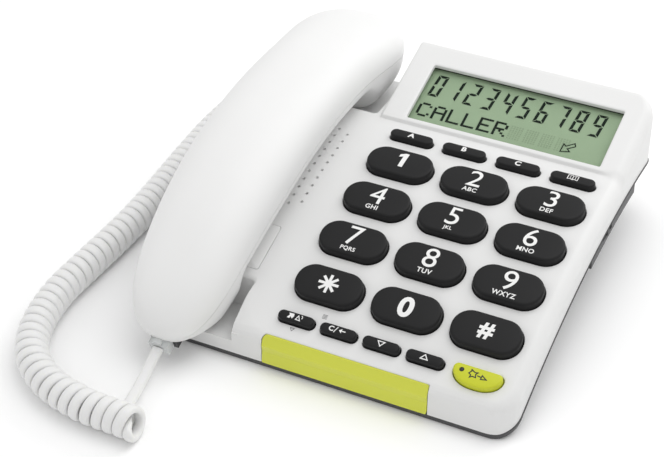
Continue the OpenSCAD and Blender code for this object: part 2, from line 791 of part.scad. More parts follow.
module hook_plunger() {
  color([0.85, 0.85, 0.84]) placed() translate([plunger_x, plunger_y, plunger_low]) union() {
    cylinder(r = plunger_r, h = plunger_top - plunger_low);
    cylinder(r = plunger_r + 1.6, h = 1.2);
  }
}

module hook_switch() {
  color([0.15, 0.15, 0.16]) placed() union() {
    box(plunger_x - 5, plunger_x + 6, plunger_y - 4, plunger_y + 4,
      plunger_low - 1 - hook_block_h, plunger_low - 1);
    translate([plunger_x, plunger_y, plunger_low - 1 - eps]) cylinder(r = 1.2, h = 0.8);
  }
}

// ---------- small fittings ----------
module index_cover() {
  color([0.92, 0.92, 0.91]) placed() on_face(index_x, index_s, -index_t)
    linear_extrude(index_t) square([index_w, index_l], center = true);
}

module ringer_slide() {
  color([0.12, 0.12, 0.13]) placed() union() {
    box(rail_x - 3.8, rail_x - 0.2, slide_y - slide_l / 2, slide_y + slide_l / 2,
      slide_z - slide_h / 2, slide_z + slide_h / 2);
    box(rail_x - 0.3, rail_x + 0.4, slide_y - 1, slide_y + 1, slide_z - slide_h / 2, slide_z + slide_h / 2);
  }
}

// Socket block open towards +Y
module socket_block(w, h, l, hole_w, hole_h, hole_l) {
  difference() {
    translate([-w / 2, -l, -h / 2]) cube([w, l, h]);
    translate([-hole_w / 2, -hole_l, -hole_h / 2]) cube([hole_w, hole_l + 1, hole_h]);
  }
}

module line_jack() {
  color([0.16, 0.16, 0.17]) placed() translate([line_x, back_y - 0.4, line_z])
    socket_block(line_w, line_h, line_l - 0.5, port_w, port_h, port_l);
}

module cord_socket() {
  socket_block(jack_w, jack_h, jack_l - 0.5, plug_w + 2 * port_gap, plug_h + 2 * port_gap,
    plug_l - plug_out);
}

module base_cord_jack() {
  color([0.16, 0.16, 0.17]) placed() translate([base_jack_x, back_y - 0.4, base_jack_z]) cord_socket();
}

// Clear cord plug with its latch, seated in a socket that is open towards +Y
module cord_plug() {
  difference() {
    union() {
      translate([-plug_w / 2, -plug_l + plug_out + 0.1, -plug_h / 2]) cube([plug_w, plug_l - 0.1, plug_h]);
      translate([-1.6, 0.6, plug_h / 2 - eps]) cube([3.2, plug_out - 0.6, 1.1]);
    }
    translate([-plug_w / 2 - 1, 1.2, plug_h / 2 - 1]) cube([plug_w / 2 - 0.6, plug_out, 2]);
    translate([1.6, 1.2, plug_h / 2 - 1]) cube([plug_w / 2, plug_out, 2]);
  }
}

module base_plug() {
  color([0.90, 0.92, 0.93]) placed() translate([base_jack_x, back_y - 0.4, base_jack_z]) cord_plug();
}

// ---------- battery compartment ----------
module battery_door() {
  color([0.33, 0.33, 0.34]) placed() difference() {
    translate([bay_x - door_w / 2, bay_y - door_l / 2, floor_z]) cube([door_w, door_l, door_t]);
    for (i = [0:2]) translate([bay_x - 8, bay_y - door_l / 2 + 5 + 3 * i, floor_z - 0.6])
      cube([16, 1.2, 1.2]);
  }
}

module batteries() {
  color([0.55, 0.56, 0.58]) placed() for (i = [0:cell_n - 1])
    translate([bay_x + (i - 1) * cell_pitch, bay_y + cell_l / 2 - 1.5, floor_z + door_t + 0.4 + cell_d / 2])
    rotate([90, 0, 0]) union() {
      cylinder(d = cell_d, h = cell_l - 2);
      translate([0, 0, -0.8]) cylinder(d = 3.8, h = 2);
    }
}

module battery_contacts() {
  contact_t = 0.5;
  color([0.75, 0.75, 0.74]) placed() for (i = [0:cell_n - 1], e = [-1, 1])
    translate([bay_x + (i - 1) * cell_pitch, bay_y + e * (bay_l / 2 - contact_t / 2 - 0.1),
      floor_z + door_t + 5.5]) cube([7, contact_t, 7], center = true);
}

module rubber_feet() {
  color([0.10, 0.10, 0.10]) placed() for (p = feet) translate([p[0], p[1], 0])
    cylinder(r = foot_r, h = foot_h);
}

module base_screws() {
  color([0.65, 0.65, 0.66]) placed() for (p = screws) translate([p[0], p[1], floor_z + 1]) union() {
    cylinder(r = screw_head_r, h = screw_head_h - 0.1);
    cylinder(r = screw_r, h = boss_split_z + 3);
  }
}

// ---------- handset ----------
module on_seam(a, x = 0) {
  c = hs_seam(a);
  translate([handset_x + x, c[0], c[1]]) rotate([-hs_phi(a), 0, 0]) children();
}

module at_plug_mouth() {
  translate(plug_mouth) rotate([-plug_tilt, 0, 180]) children();
}

module handset_upper_shell() {
  color([0.95, 0.95, 0.94]) placed() difference() {
    handset_half(true, 0);
    handset_half(true, handset_wall, 2);
    at_plug_mouth() translate([-jack_w / 2 - 0.3, -jack_l - 0.3, -jack_h / 2 - 0.3])
      cube([jack_w + 0.6, jack_l + 8, jack_h + 0.9]);
  }
}

// Chin of the lower shell round the jack, cut off at the seam
module jack_chin() {
  intersection() {
    at_plug_mouth() translate([-jack_w / 2 - jack_sleeve, -jack_l - jack_sleeve, -jack_h / 2 - jack_sleeve])
      cube([jack_w + 2 * jack_sleeve, jack_l + jack_sleeve, jack_h + 2 * jack_sleeve]);
    translate([-big / 2, seam_top_y, seam_top_z - mouth_bend_r]) rotate([0, 90, 0])
      cylinder(r = mouth_bend_r - 0.1, h = big, $fn = 360);
  }
}

module handset_lower_shell() {
  hole_ring = 4;
  color([0.93, 0.93, 0.92]) placed() difference() {
    union() {
      difference() {
        translate([0, 0, -0.1]) handset_half(false, 0);
        translate([0, 0, -0.1]) handset_half(false, handset_wall, 2);
      }
      jack_chin();
    }
    at_plug_mouth() translate([-jack_w / 2 - 0.1, -jack_l, -jack_h / 2 - 0.1])
      cube([jack_w + 0.2, jack_l + 8, jack_h + 0.9]);
    for (r = [0:2], i = [0:max(0, 6 * r - 1)]) on_seam(ear_a)
      translate([hole_ring * r * cos(60 * i / max(r, 1)), hole_ring * r * sin(60 * i / max(r, 1)), -30])
      cylinder(d = 1.6, h = 24, $fn = 16);
    on_seam(mic_a) translate([0, 0, -30]) cylinder(d = 1.6, h = 24, $fn = 16);
    for (a = handset_screw_a) on_seam(a) {
      translate([0, 0, -20]) cylinder(r = screw_r + 0.1, h = 30);
      translate([0, 0, -20]) cylinder(r = screw_head_r - 0.2, h = 20 - grip_depth + 1.5);
    }
  }
}

module earpiece() {
  ear_lift = 2.8;
  color([0.2, 0.2, 0.2]) placed() on_seam(ear_a)
    translate([0, 0, handset_wall + ear_lift - hs_d(ear_a)]) union() {
    cylinder(r = 9, h = 5);
    translate([0, 0, 2.5]) cylinder(r = 14, h = 2.5);
  }
}

module microphone() {
  color([0.2, 0.2, 0.2]) placed() on_seam(mic_a) translate([0, 0, handset_wall + 1.6 - hs_d(mic_a)])
    cylinder(r = 4.8, h = 5);
}

module handset_weight() {
  color([0.5, 0.5, 0.52]) placed() on_seam(-22) translate([-12, -16, -4]) cube([24, 32, 3]);
}

module handset_jack() {
  color([0.16, 0.16, 0.17]) placed() at_plug_mouth() cord_socket();
}

module handset_screws() {
  color([0.65, 0.65, 0.66]) placed() for (a = handset_screw_a) on_seam(a) translate([0, 0, -grip_depth + 0.2])
    union() {
      cylinder(r = screw_head_r - 0.4, h = 1.2);
      cylinder(r = screw_r, h = grip_depth + 5);
    }
}

module handset_plug() {
  color([0.90, 0.92, 0.93]) placed() at_plug_mouth() cord_plug();
}

// ---------- cord ----------
function unit(v) = v / max(norm(v), eps);
// Rings of a tube that follows a route; flat = height of the section over its width
function tube_rings(route, r, sides, flat) = let (n = len(route))
  [for (i = [0:n - 1]) let (d = unit(route[min(i + 1, n - 1)] - route[max(i - 1, 0)]),
      across = unit(cross([0, 0, 1], d)), up = cross(d, across))
    [for (k = [0:sides - 1]) let (q = 360 * k / sides)
      route[i] + across * r * cos(q) + up * r * flat * sin(q)]];

module handset_tail() {
  color([0.93, 0.93, 0.92]) placed() loft(tube_rings(handset_tail_route, cord_w / 2, 8, cord_t / cord_w));
}

module base_tail() {
  color([0.93, 0.93, 0.92]) placed() loft(tube_rings(base_tail_route, cord_w / 2, 8, cord_t / cord_w));
}

module curly_cord() {
  route = [for (p = coil_route) [p[0], p[1], coil_z]];
  color([0.93, 0.93, 0.92]) placed() loft(tube_rings(route, coil_r, 12, 1));
}

upper_housing();
lower_housing();
display_window();
lcd_panel();
lcd_holder();
key_mat();
main_board();
number_key(0, -1);  // key_1
number_key(0, 0);  // key_2
number_key(0, 1);  // key_3
number_key(1, -1);  // key_4
number_key(1, 0);  // key_5
number_key(1, 1);  // key_6
number_key(2, -1);  // key_7
number_key(2, 0);  // key_8
number_key(2, 1);  // key_9
number_key(3, -1);  // key_star
number_key(3, 0);  // key_0
number_key(3, 1);  // key_hash
key(memory_x0, memory_s, 1);  // key_a
key(memory_x0 + memory_pitch, memory_s, 1);  // key_b
key(memory_x0 + 2 * memory_pitch, memory_s, 1);  // key_c
key(memory_x0 + 3 * memory_pitch, memory_s, 1);  // key_book
key(function_x0, -function_s, 2);  // key_recall
key(function_x0 + function_pitch, -function_s, 2);  // key_clear
key(function_x0 + 2 * function_pitch, -function_s, 2);  // key_down
key(function_x0 + 3 * function_pitch, -function_s, 2);  // key_up
boost_key();
boost_lamp();
ringer_bar();
ringer_leds();
loudspeaker();
hook_plunger();
hook_switch();
index_cover();
ringer_slide();
line_jack();
base_cord_jack();
battery_door();
batteries();
battery_contacts();
rubber_feet();
base_screws();
handset_upper_shell();
handset_lower_shell();
earpiece();
microphone();
handset_weight();
handset_jack();
handset_screws();
handset_plug();
base_plug();
handset_tail();
curly_cord();
base_tail();
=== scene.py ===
"""Corded desk telephone with large keys: the looks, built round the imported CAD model.

Design sizes are in millimetres in the base's own coordinates (origin on the table under the middle of
the base, +X right, +Y back), and every mesh is moved to the row frame, in metres, when it is finished.
"""

import json
import logging
import math
from dataclasses import dataclass, field
from enum import Enum
from typing import Sequence

import bmesh
import bpy
from mathutils import Matrix, Vector

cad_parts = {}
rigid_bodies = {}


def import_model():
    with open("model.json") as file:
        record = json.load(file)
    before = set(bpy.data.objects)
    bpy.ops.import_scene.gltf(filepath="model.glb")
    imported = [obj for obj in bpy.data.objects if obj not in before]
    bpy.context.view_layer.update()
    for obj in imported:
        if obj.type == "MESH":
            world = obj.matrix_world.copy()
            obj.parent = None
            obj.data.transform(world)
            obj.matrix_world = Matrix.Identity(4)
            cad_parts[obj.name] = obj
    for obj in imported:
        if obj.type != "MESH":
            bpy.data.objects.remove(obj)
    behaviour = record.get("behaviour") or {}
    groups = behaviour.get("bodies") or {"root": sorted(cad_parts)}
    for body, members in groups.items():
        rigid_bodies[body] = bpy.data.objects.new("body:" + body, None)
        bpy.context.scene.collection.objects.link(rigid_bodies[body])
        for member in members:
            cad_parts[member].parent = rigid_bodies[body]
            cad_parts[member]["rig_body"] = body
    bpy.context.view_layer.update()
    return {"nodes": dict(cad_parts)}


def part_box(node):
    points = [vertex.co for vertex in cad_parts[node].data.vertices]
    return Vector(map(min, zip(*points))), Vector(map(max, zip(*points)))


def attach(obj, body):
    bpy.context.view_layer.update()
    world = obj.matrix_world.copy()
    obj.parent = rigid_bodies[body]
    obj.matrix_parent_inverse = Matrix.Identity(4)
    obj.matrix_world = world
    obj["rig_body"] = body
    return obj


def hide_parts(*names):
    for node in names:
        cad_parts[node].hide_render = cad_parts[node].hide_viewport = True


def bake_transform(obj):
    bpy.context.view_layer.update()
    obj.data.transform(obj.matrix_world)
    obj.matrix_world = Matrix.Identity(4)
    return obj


log = logging.getLogger("telephone")
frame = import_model()
MM = 0.001
Point = tuple[float, float, float]
Outline = list[tuple[float, float]]


def smooth(t: float) -> float:
    """Smooth step from 0 to 1."""
    t = min(max(t, 0.0), 1.0)
    return t * t * (3 - 2 * t)


def ramp(value: float, start: float, end: float) -> float:
    """Smooth step of value between start and end, which may run either way."""
    return smooth((value - start) / (end - start))


# ---------- sizes that several assemblies share ----------
@dataclass(frozen=True)
class Layout:
    """Driving sizes of the base, in millimetres, and the places that follow from them."""

    width: float = 148.0
    depth: float = 158.0
    corner: float = 10.0
    wall: float = 2.4
    side_height: float = 11.5
    front_seam: float = 2.4
    face_radius: float = 296.0
    face_tilt: float = math.radians(13.0)
    field: Point = (23.0, -23.0, 33.5)
    display_tilt: float = math.radians(16.5)
    display_left: float = -28.8
    display_front: float = 36.0
    window: tuple[float, float] = (81.5, 29.8)
    window_front_z: float = 42.8
    window_margin: float = 2.4
    ear_well: Point = (-31.4, 38.0, 30.4)
    mouth_well: Point = (-36.5, -59.0, 8.0)
    trough_depth: float = 6.0
    trough_x: float = -47.0
    trough_y: float = -6.0

    @property
    def arc_y(self) -> float:
        """Centre of the face arc, along the base."""
        return self.field[1] + self.face_radius * math.sin(self.face_tilt)

    @property
    def arc_z(self) -> float:
        """Centre of the face arc, above the table."""
        return self.field[2] - self.face_radius * math.cos(self.face_tilt)

    @property
    def seam_radius(self) -> float:
        """Radius of the seam between the two housings."""
        return self.face_radius - self.side_height

    @property
    def display_y(self) -> float:
        """Front edge of the window, along the base."""
        return self.display_front + self.window_margin * math.cos(self.display_tilt)

    @property
    def window_x(self) -> float:
        """Middle of the window, across the base."""
        return self.field[0] - 0.5

    def arc_height(self, y: float, radius: float | None = None) -> float:
        """Height of the arched face, or of an arc with its centre, at y.

        Args:
            y: Place along the base.
            radius: Radius of the arc; the face's own when left out.

        Returns:
            The height above the table.
        """
        r = self.face_radius if radius is None else radius
        return self.arc_z + math.sqrt(r * r - (y - self.arc_y) ** 2)

    def face_angle(self, s: float) -> float:
        """Slope of the face at arc length s behind the middle of the number keys."""
        return self.face_tilt - s / self.face_radius

    def face_frame(self, x: float, s: float, lift: float = 0.0) -> Matrix:
        """Frame on the face: local Z is its normal and local Y points up the slope."""
        a = self.face_angle(s)
        r = self.face_radius + lift
        place = Vector((x, self.arc_y - r * math.sin(a), self.arc_z + r * math.cos(a)))
        return Matrix.Translation(place) @ Matrix.Rotation(a, 4, "X")

    def display_frame(self, lift: float = 0.0) -> Matrix:
        """Frame in the middle of the window's front edge, with local Z out of the surround."""
        place = Vector((self.window_x, self.display_y, self.window_front_z))
        return (
            Matrix.Translation(place)
            @ Matrix.Rotation(self.display_tilt, 4, "X")
            @ Matrix.Translation((0, 0, lift))
        )


LAYOUT = Layout()


def base_to_row() -> Matrix:
    """Matrix from the base's millimetres to the row frame's metres, read from the CAD base."""
    low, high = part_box("upper_housing")
    middle = (low + high) / 2
    return Matrix.Translation((middle.x, middle.y, 0)) @ Matrix.Scale(MM, 4)


TO_ROW = base_to_row()


# ---------- finishes ----------
@dataclass(frozen=True)
class GroupBuilder:
    """Shader node groups that several finishes share."""

    name: str = "moulded_surface"

    def build(self) -> bpy.types.NodeTree:
        """Colour, roughness and height of a moulded surface.

        Returns:
            The node group, with inputs Tint, Mottle, Roughness, Haze, Grain and Scale.
        """
        found = bpy.data.node_groups.get(self.name)
        if found:
            return found
        tree = bpy.data.node_groups.new(self.name, "ShaderNodeTree")
        face = tree.interface
        face.new_socket("Tint", in_out="INPUT", socket_type="NodeSocketColor")
        defaults = {"Mottle": 0.03, "Roughness": 0.4, "Haze": 0.06, "Grain": 0.5, "Scale": 2500.0}
        for label, value in defaults.items():
            socket = face.new_socket(label, in_out="INPUT", socket_type="NodeSocketFloat")
            socket.default_value = value
        face.new_socket("Color", in_out="OUTPUT", socket_type="NodeSocketColor")
        face.new_socket("Roughness", in_out="OUTPUT", socket_type="NodeSocketFloat")
        face.new_socket("Height", in_out="OUTPUT", socket_type="NodeSocketFloat")
        nodes, links = tree.nodes, tree.links
        start = nodes.new("NodeGroupInput")
        end = nodes.new("NodeGroupOutput")
        place = nodes.new("ShaderNodeTexCoord")
        broad = nodes.new("ShaderNodeTexNoise")
        broad.inputs["Scale"].default_value = 38.0
        broad.inputs["Detail"].default_value = 3.0
        fine = nodes.new("ShaderNodeTexNoise")
        fine.inputs["Detail"].default_value = 2.0
        links.new(place.outputs["Object"], broad.inputs["Vector"])
        links.new(place.outputs["Object"], fine.inputs["Vector"])
        links.new(start.outputs["Scale"], fine.inputs["Scale"])

        def math_node(
            kind: str, a: bpy.types.NodeSocket, b: bpy.types.NodeSocket | float
        ) -> bpy.types.NodeSocket:
            """One math node on two values; returns its output."""
            node = nodes.new("ShaderNodeMath")
            node.operation = kind
            links.new(a, node.inputs[0])
            if isinstance(b, float):
                node.inputs[1].default_value = b
            else:
                links.new(b, node.inputs[1])
            return node.outputs[0]

        centred = math_node("SUBTRACT", broad.outputs["Fac"], 0.5)
        shade = math_node("MULTIPLY", centred, start.outputs["Mottle"])
        value = math_node("ADD", shade, 1.0)
        tone = nodes.new("ShaderNodeHueSaturation")
        links.new(start.outputs["Tint"], tone.inputs["Color"])
        links.new(value, tone.inputs["Value"])
        haze = math_node("MULTIPLY", centred, start.outputs["Haze"])
        links.new(tone.outputs["Color"], end.inputs["Color"])
        links.new(math_node("ADD", haze, start.outputs["Roughness"]), end.inputs["Roughness"])
        links.new(math_node("MULTIPLY", fine.outputs["Fac"], start.outputs["Grain"]), end.inputs["Height"])
        return tree


@dataclass(frozen=True)
class Finish:
    """A moulded, printed or coated surface."""

    name: str
    tint: tuple[float, float, float]
    roughness: float = 0.42
    mottle: float = 0.04
    haze: float = 0.08
    grain: float = 0.35
    scale: float = 2600.0
    bump: float = 0.06
    metallic: float = 0.0
    transmission: float = 0.0
    coat: float = 0.0
    subsurface: float = 0.0
    ior: float = 1.46
    specular: float = 0.5
    alpha: float = 1.0

    def build(self) -> bpy.types.Material:
        """The material, made once and then shared.

        Returns:
            A material whose colour, roughness and bump come from the moulded surface group.
        """
        name = "look_" + self.name
        found = bpy.data.materials.get(name)
        if found:
            return found
        material = bpy.data.materials.new(name)
        material.use_nodes = True
        nodes, links = material.node_tree.nodes, material.node_tree.links
        shader = nodes["Principled BSDF"]
        surface = nodes.new("ShaderNodeGroup")
        surface.node_tree = GroupBuilder().build()
        surface.inputs["Tint"].default_value = (*self.tint, 1.0)
        surface.inputs["Mottle"].default_value = self.mottle
        surface.inputs["Roughness"].default_value = self.roughness
        surface.inputs["Haze"].default_value = self.haze
        surface.inputs["Grain"].default_value = self.grain
        surface.inputs["Scale"].default_value = self.scale
        relief = nodes.new("ShaderNodeBump")
        relief.inputs["Strength"].default_value = self.bump
        relief.inputs["Distance"].default_value = 0.0002
        links.new(surface.outputs["Color"], shader.inputs["Base Color"])
        links.new(surface.outputs["Roughness"], shader.inputs["Roughness"])
        links.new(surface.outputs["Height"], relief.inputs["Height"])
        links.new(relief.outputs["Normal"], shader.inputs["Normal"])
        shader.inputs["Metallic"].default_value = self.metallic
        shader.inputs["Transmission Weight"].default_value = self.transmission
        shader.inputs["Coat Weight"].default_value = self.coat
        shader.inputs["Subsurface Weight"].default_value = self.subsurface
        shader.inputs["Subsurface Radius"].default_value = (0.003, 0.003, 0.002)
        shader.inputs["Subsurface Scale"].default_value = 1.0
        shader.inputs["IOR"].default_value = self.ior
        shader.inputs["Specular IOR Level"].default_value = self.specular
        shader.inputs["Alpha"].default_value = self.alpha
        return material


FLOOR = Finish("floor_white", (0.97, 0.97, 0.97), roughness=0.9, mottle=0.0, bump=0.0)
HOUSING = Finish("housing_white", (0.745, 0.745, 0.74), roughness=0.45, specular=0.35)
HANDSET_WHITE = Finish("handset_white", (0.80, 0.80, 0.795), roughness=0.42, bump=0.03, specular=0.35)
CASE = Finish("case_grey", (0.065, 0.065, 0.067), roughness=0.5, grain=0.6, bump=0.15)
KEY = Finish("key_black", (0.016, 0.016, 0.0165), roughness=0.45, grain=0.5, bump=0.08, specular=0.16)
PRINT = Finish("print_white", (0.80, 0.80, 0.79), roughness=0.5)
PRINT_GREY = Finish("print_grey", (0.16, 0.16, 0.165), roughness=0.5)
PRINT_BLACK = Finish("print_black", (0.02, 0.022, 0.02), roughness=0.5)
LIME = Finish("lime_plastic", (0.55, 0.585, 0.03), roughness=0.4, specular=0.3)
LIME_CLEAR = Finish("lime_clear", (0.63, 0.66, 0.055), roughness=0.2, coat=0.3, subsurface=0.12, bump=0.0)
LCD = Finish("lcd_green", (0.29, 0.385, 0.255), roughness=0.5, mottle=0.05, bump=0.0, specular=0.1)
LCD_INK = Finish("lcd_ink", (0.010, 0.016, 0.011), roughness=0.5, bump=0.0, specular=0.1)
LCD_GHOST = Finish("lcd_ghost", (0.245, 0.325, 0.215), roughness=0.5, bump=0.0, specular=0.1)
WINDOW = Finish("window_clear", (0.97, 0.99, 0.97), roughness=0.02, haze=0.01, transmission=1.0, bump=0.0,
                ior=1.12, alpha=0.08, specular=0.1)
CORD = Finish("cord_white", (0.79, 0.79, 0.785), roughness=0.42, bump=0.02, subsurface=0.05, specular=0.35)
PLUG = Finish("plug_clear", (0.86, 0.88, 0.88), roughness=0.12, transmission=0.35, bump=0.0)
BLACK = Finish("black_plastic", (0.02, 0.02, 0.021), roughness=0.45, grain=0.5)
RUBBER = Finish("foot_rubber", (0.02, 0.02, 0.02), roughness=0.8, grain=0.8, bump=0.2)
STEEL = Finish("screw_steel", (0.55, 0.55, 0.56), roughness=0.28, metallic=1.0)
SPEAKER = Finish("speaker_metal", (0.16, 0.16, 0.17), roughness=0.4, metallic=0.8)
BOARD = Finish("board_green", (0.02, 0.14, 0.055), roughness=0.4, mottle=0.15)
SILICONE = Finish("mat_silicone", (0.55, 0.55, 0.53), roughness=0.7)
CELL = Finish("cell_metal", (0.20, 0.24, 0.30), roughness=0.3, metallic=0.6)


# ---------- mesh making ----------
@dataclass
class Maker:
    """Turns meshes made in the base's millimetres into dressed pieces of the row."""

    count: int = 0

    def piece(
        self,
        bm: bmesh.types.BMesh,
        name: str,
        finish: Finish,
        body: str,
        replaces: Sequence[str] = (),
        angle: float = 35.0,
        transform: Matrix | None = None,
    ) -> bpy.types.Object:
        """Makes an object from a mesh, moves it to the row frame and lets it ride on its body.

        Args:
            bm: The mesh, in millimetres; it is freed.
            name: Name of the piece.
            finish: Its finish.
            body: The CAD body that it moves with.
            replaces: CAD nodes that it stands for.
            angle: Edges sharper than this many degrees are shaded sharp.
            transform: Placing in the base's coordinates, if the mesh isn't there yet.

        Returns:
            The object.
        """
        if transform is not None:
            bm.transform(transform)
        bmesh.ops.recalc_face_normals(bm, faces=bm.faces)
        bm.transform(TO_ROW)
        mesh = bpy.data.meshes.new(name)
        bm.to_mesh(mesh)
        bm.free()
        mesh.shade_smooth()
        mesh.set_sharp_from_angle(angle=math.radians(angle))
        mesh.materials.append(finish.build())
        obj = bpy.data.objects.new(name, mesh)
        bpy.context.scene.collection.objects.link(obj)
        self.declare(obj, body, replaces)
        return obj

    def declare(self, obj: bpy.types.Object, body: str, replaces: Sequence[str] = ()) -> None:
        """Puts an object on its body, hides the CAD nodes that it replaces, and reports it."""
        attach(obj, body)
        if replaces:
            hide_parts(*replaces)
        self.count += 1
        log.info("%s: %d faces, rides on %s", obj.name, len(obj.data.polygons), body)


MAKER = Maker()


def loft(rings: Sequence[Sequence[Point]], closed: bool = True, caps: bool = True) -> bmesh.types.BMesh:
    """Mesh through rings of equal length.

    Args:
        rings: Rings of points, each in the same order.
        closed: Whether each ring closes on itself.
        caps: Whether the first and last ring are filled.

    Returns:
        The mesh.
    """
    bm = bmesh.new()
    rows = [[bm.verts.new(p) for p in ring] for ring in rings]
    n = len(rows[0])
    for low, high in zip(rows, rows[1:]):
        for k in range(n if closed else n - 1):
            j = (k + 1) % n
            bm.faces.new((low[k], low[j], high[j], high[k]))
    if caps:
        bm.faces.new(list(reversed(rows[0])))
        bm.faces.new(rows[-1])
    return bm


def rounded_rectangle(width: float, length: float, radius: float, steps: int = 12) -> Outline:
    """Outline of a rectangle with round corners, anticlockwise from the right-hand side."""
    radius = min(radius, width / 2 - 1e-3, length / 2 - 1e-3)
    points: Outline = []
    for quarter, (sx, sy) in enumerate(((1, 1), (-1, 1), (-1, -1), (1, -1))):
        for i in range(steps + 1):
            a = math.pi / 2 * (quarter + i / steps)
            points.append(
                (
                    sx * (width / 2 - radius) + radius * math.cos(a),
                    sy * (length / 2 - radius) + radius * math.sin(a),
                )
            )
    return points


# ---------- camera and stage ----------
@dataclass(frozen=True)
class Studio:
    """Camera, pale floor and soft lights."""

    target: Point = (-18.15, -31.3, 33.5)
    azimuth: float = math.radians(25.59)
    elevation: float = math.radians(36.83)
    distance: float = 661.5
    lens: float = 95.14

    def build(self) -> None:
        """Adds the camera, the floor, the world light and three area lights."""
        self.camera()
        self.floor()
        self.world()
        self.area("top_light", (140, 120, 760), 620, 2.0)
        self.area("fill_light", (-520, -380, 420), 520, 0.35)
        self.area("back_light", (260, 560, 420), 420, 1.3)

    def camera(self) -> None:
        """Sets the camera at the viewing angle, with a level horizon."""
        back = Vector(
            (
                math.sin(self.azimuth) * math.cos(self.elevation),
                -math.cos(self.azimuth) * math.cos(self.elevation),
                math.sin(self.elevation),
            )
        )
        data = bpy.data.cameras.new("camera")
        data.lens = self.lens
        data.sensor_width = 36.0
        data.sensor_fit = "HORIZONTAL"
        data.clip_start = 0.01
        camera = bpy.data.objects.new("camera", data)
        place = TO_ROW @ (Vector(self.target) + back * self.distance)
        camera.matrix_world = Matrix.Translation(place) @ back.to_track_quat("Z", "Y").to_matrix().to_4x4()
        bpy.context.scene.collection.objects.link(camera)
        bpy.context.scene.camera = camera

    def floor(self) -> None:
        """Adds the plain pale floor."""
        bm = bmesh.new()
        half = 6000.0
        corners = ((-half, -half), (half, -half), (half, half), (-half, half))
        bm.faces.new([bm.verts.new((x, y, 0.0)) for x, y in corners])
        bm.transform(TO_ROW)
        mesh = bpy.data.meshes.new("floor")
        bm.to_mesh(mesh)
        bm.free()
        mesh.materials.append(FLOOR.build())
        floor = bpy.data.objects.new("floor", mesh)
        bpy.context.scene.collection.objects.link(floor)

    def world(self) -> None:
        """Even white light from all round."""
        world = bpy.data.worlds.new("studio")
        world.use_nodes = True
        world.node_tree.nodes["Background"].inputs["Color"].default_value = (1, 1, 1, 1)
        world.node_tree.nodes["Background"].inputs["Strength"].default_value = 0.75
        bpy.context.scene.world = world
        bpy.context.scene.view_settings.view_transform = "Standard"

    def area(self, name: str, place: Point, size: float, power: float) -> None:
        """Adds a square light that faces the phone.

        Args:
            name: Name of the light.
            place: Its place, in millimetres.
            size: Side of the square, in millimetres.
            power: Power in watts.
        """
        data = bpy.data.lights.new(name, "AREA")
        data.size = size * MM
        data.energy = power
        light = bpy.data.objects.new(name, data)
        at = TO_ROW @ Vector(place)
        aim = at - TO_ROW @ Vector((0, -20, 20))
        light.matrix_world = Matrix.Translation(at) @ aim.to_track_quat("Z", "Y").to_matrix().to_4x4()
        bpy.context.scene.collection.objects.link(light)


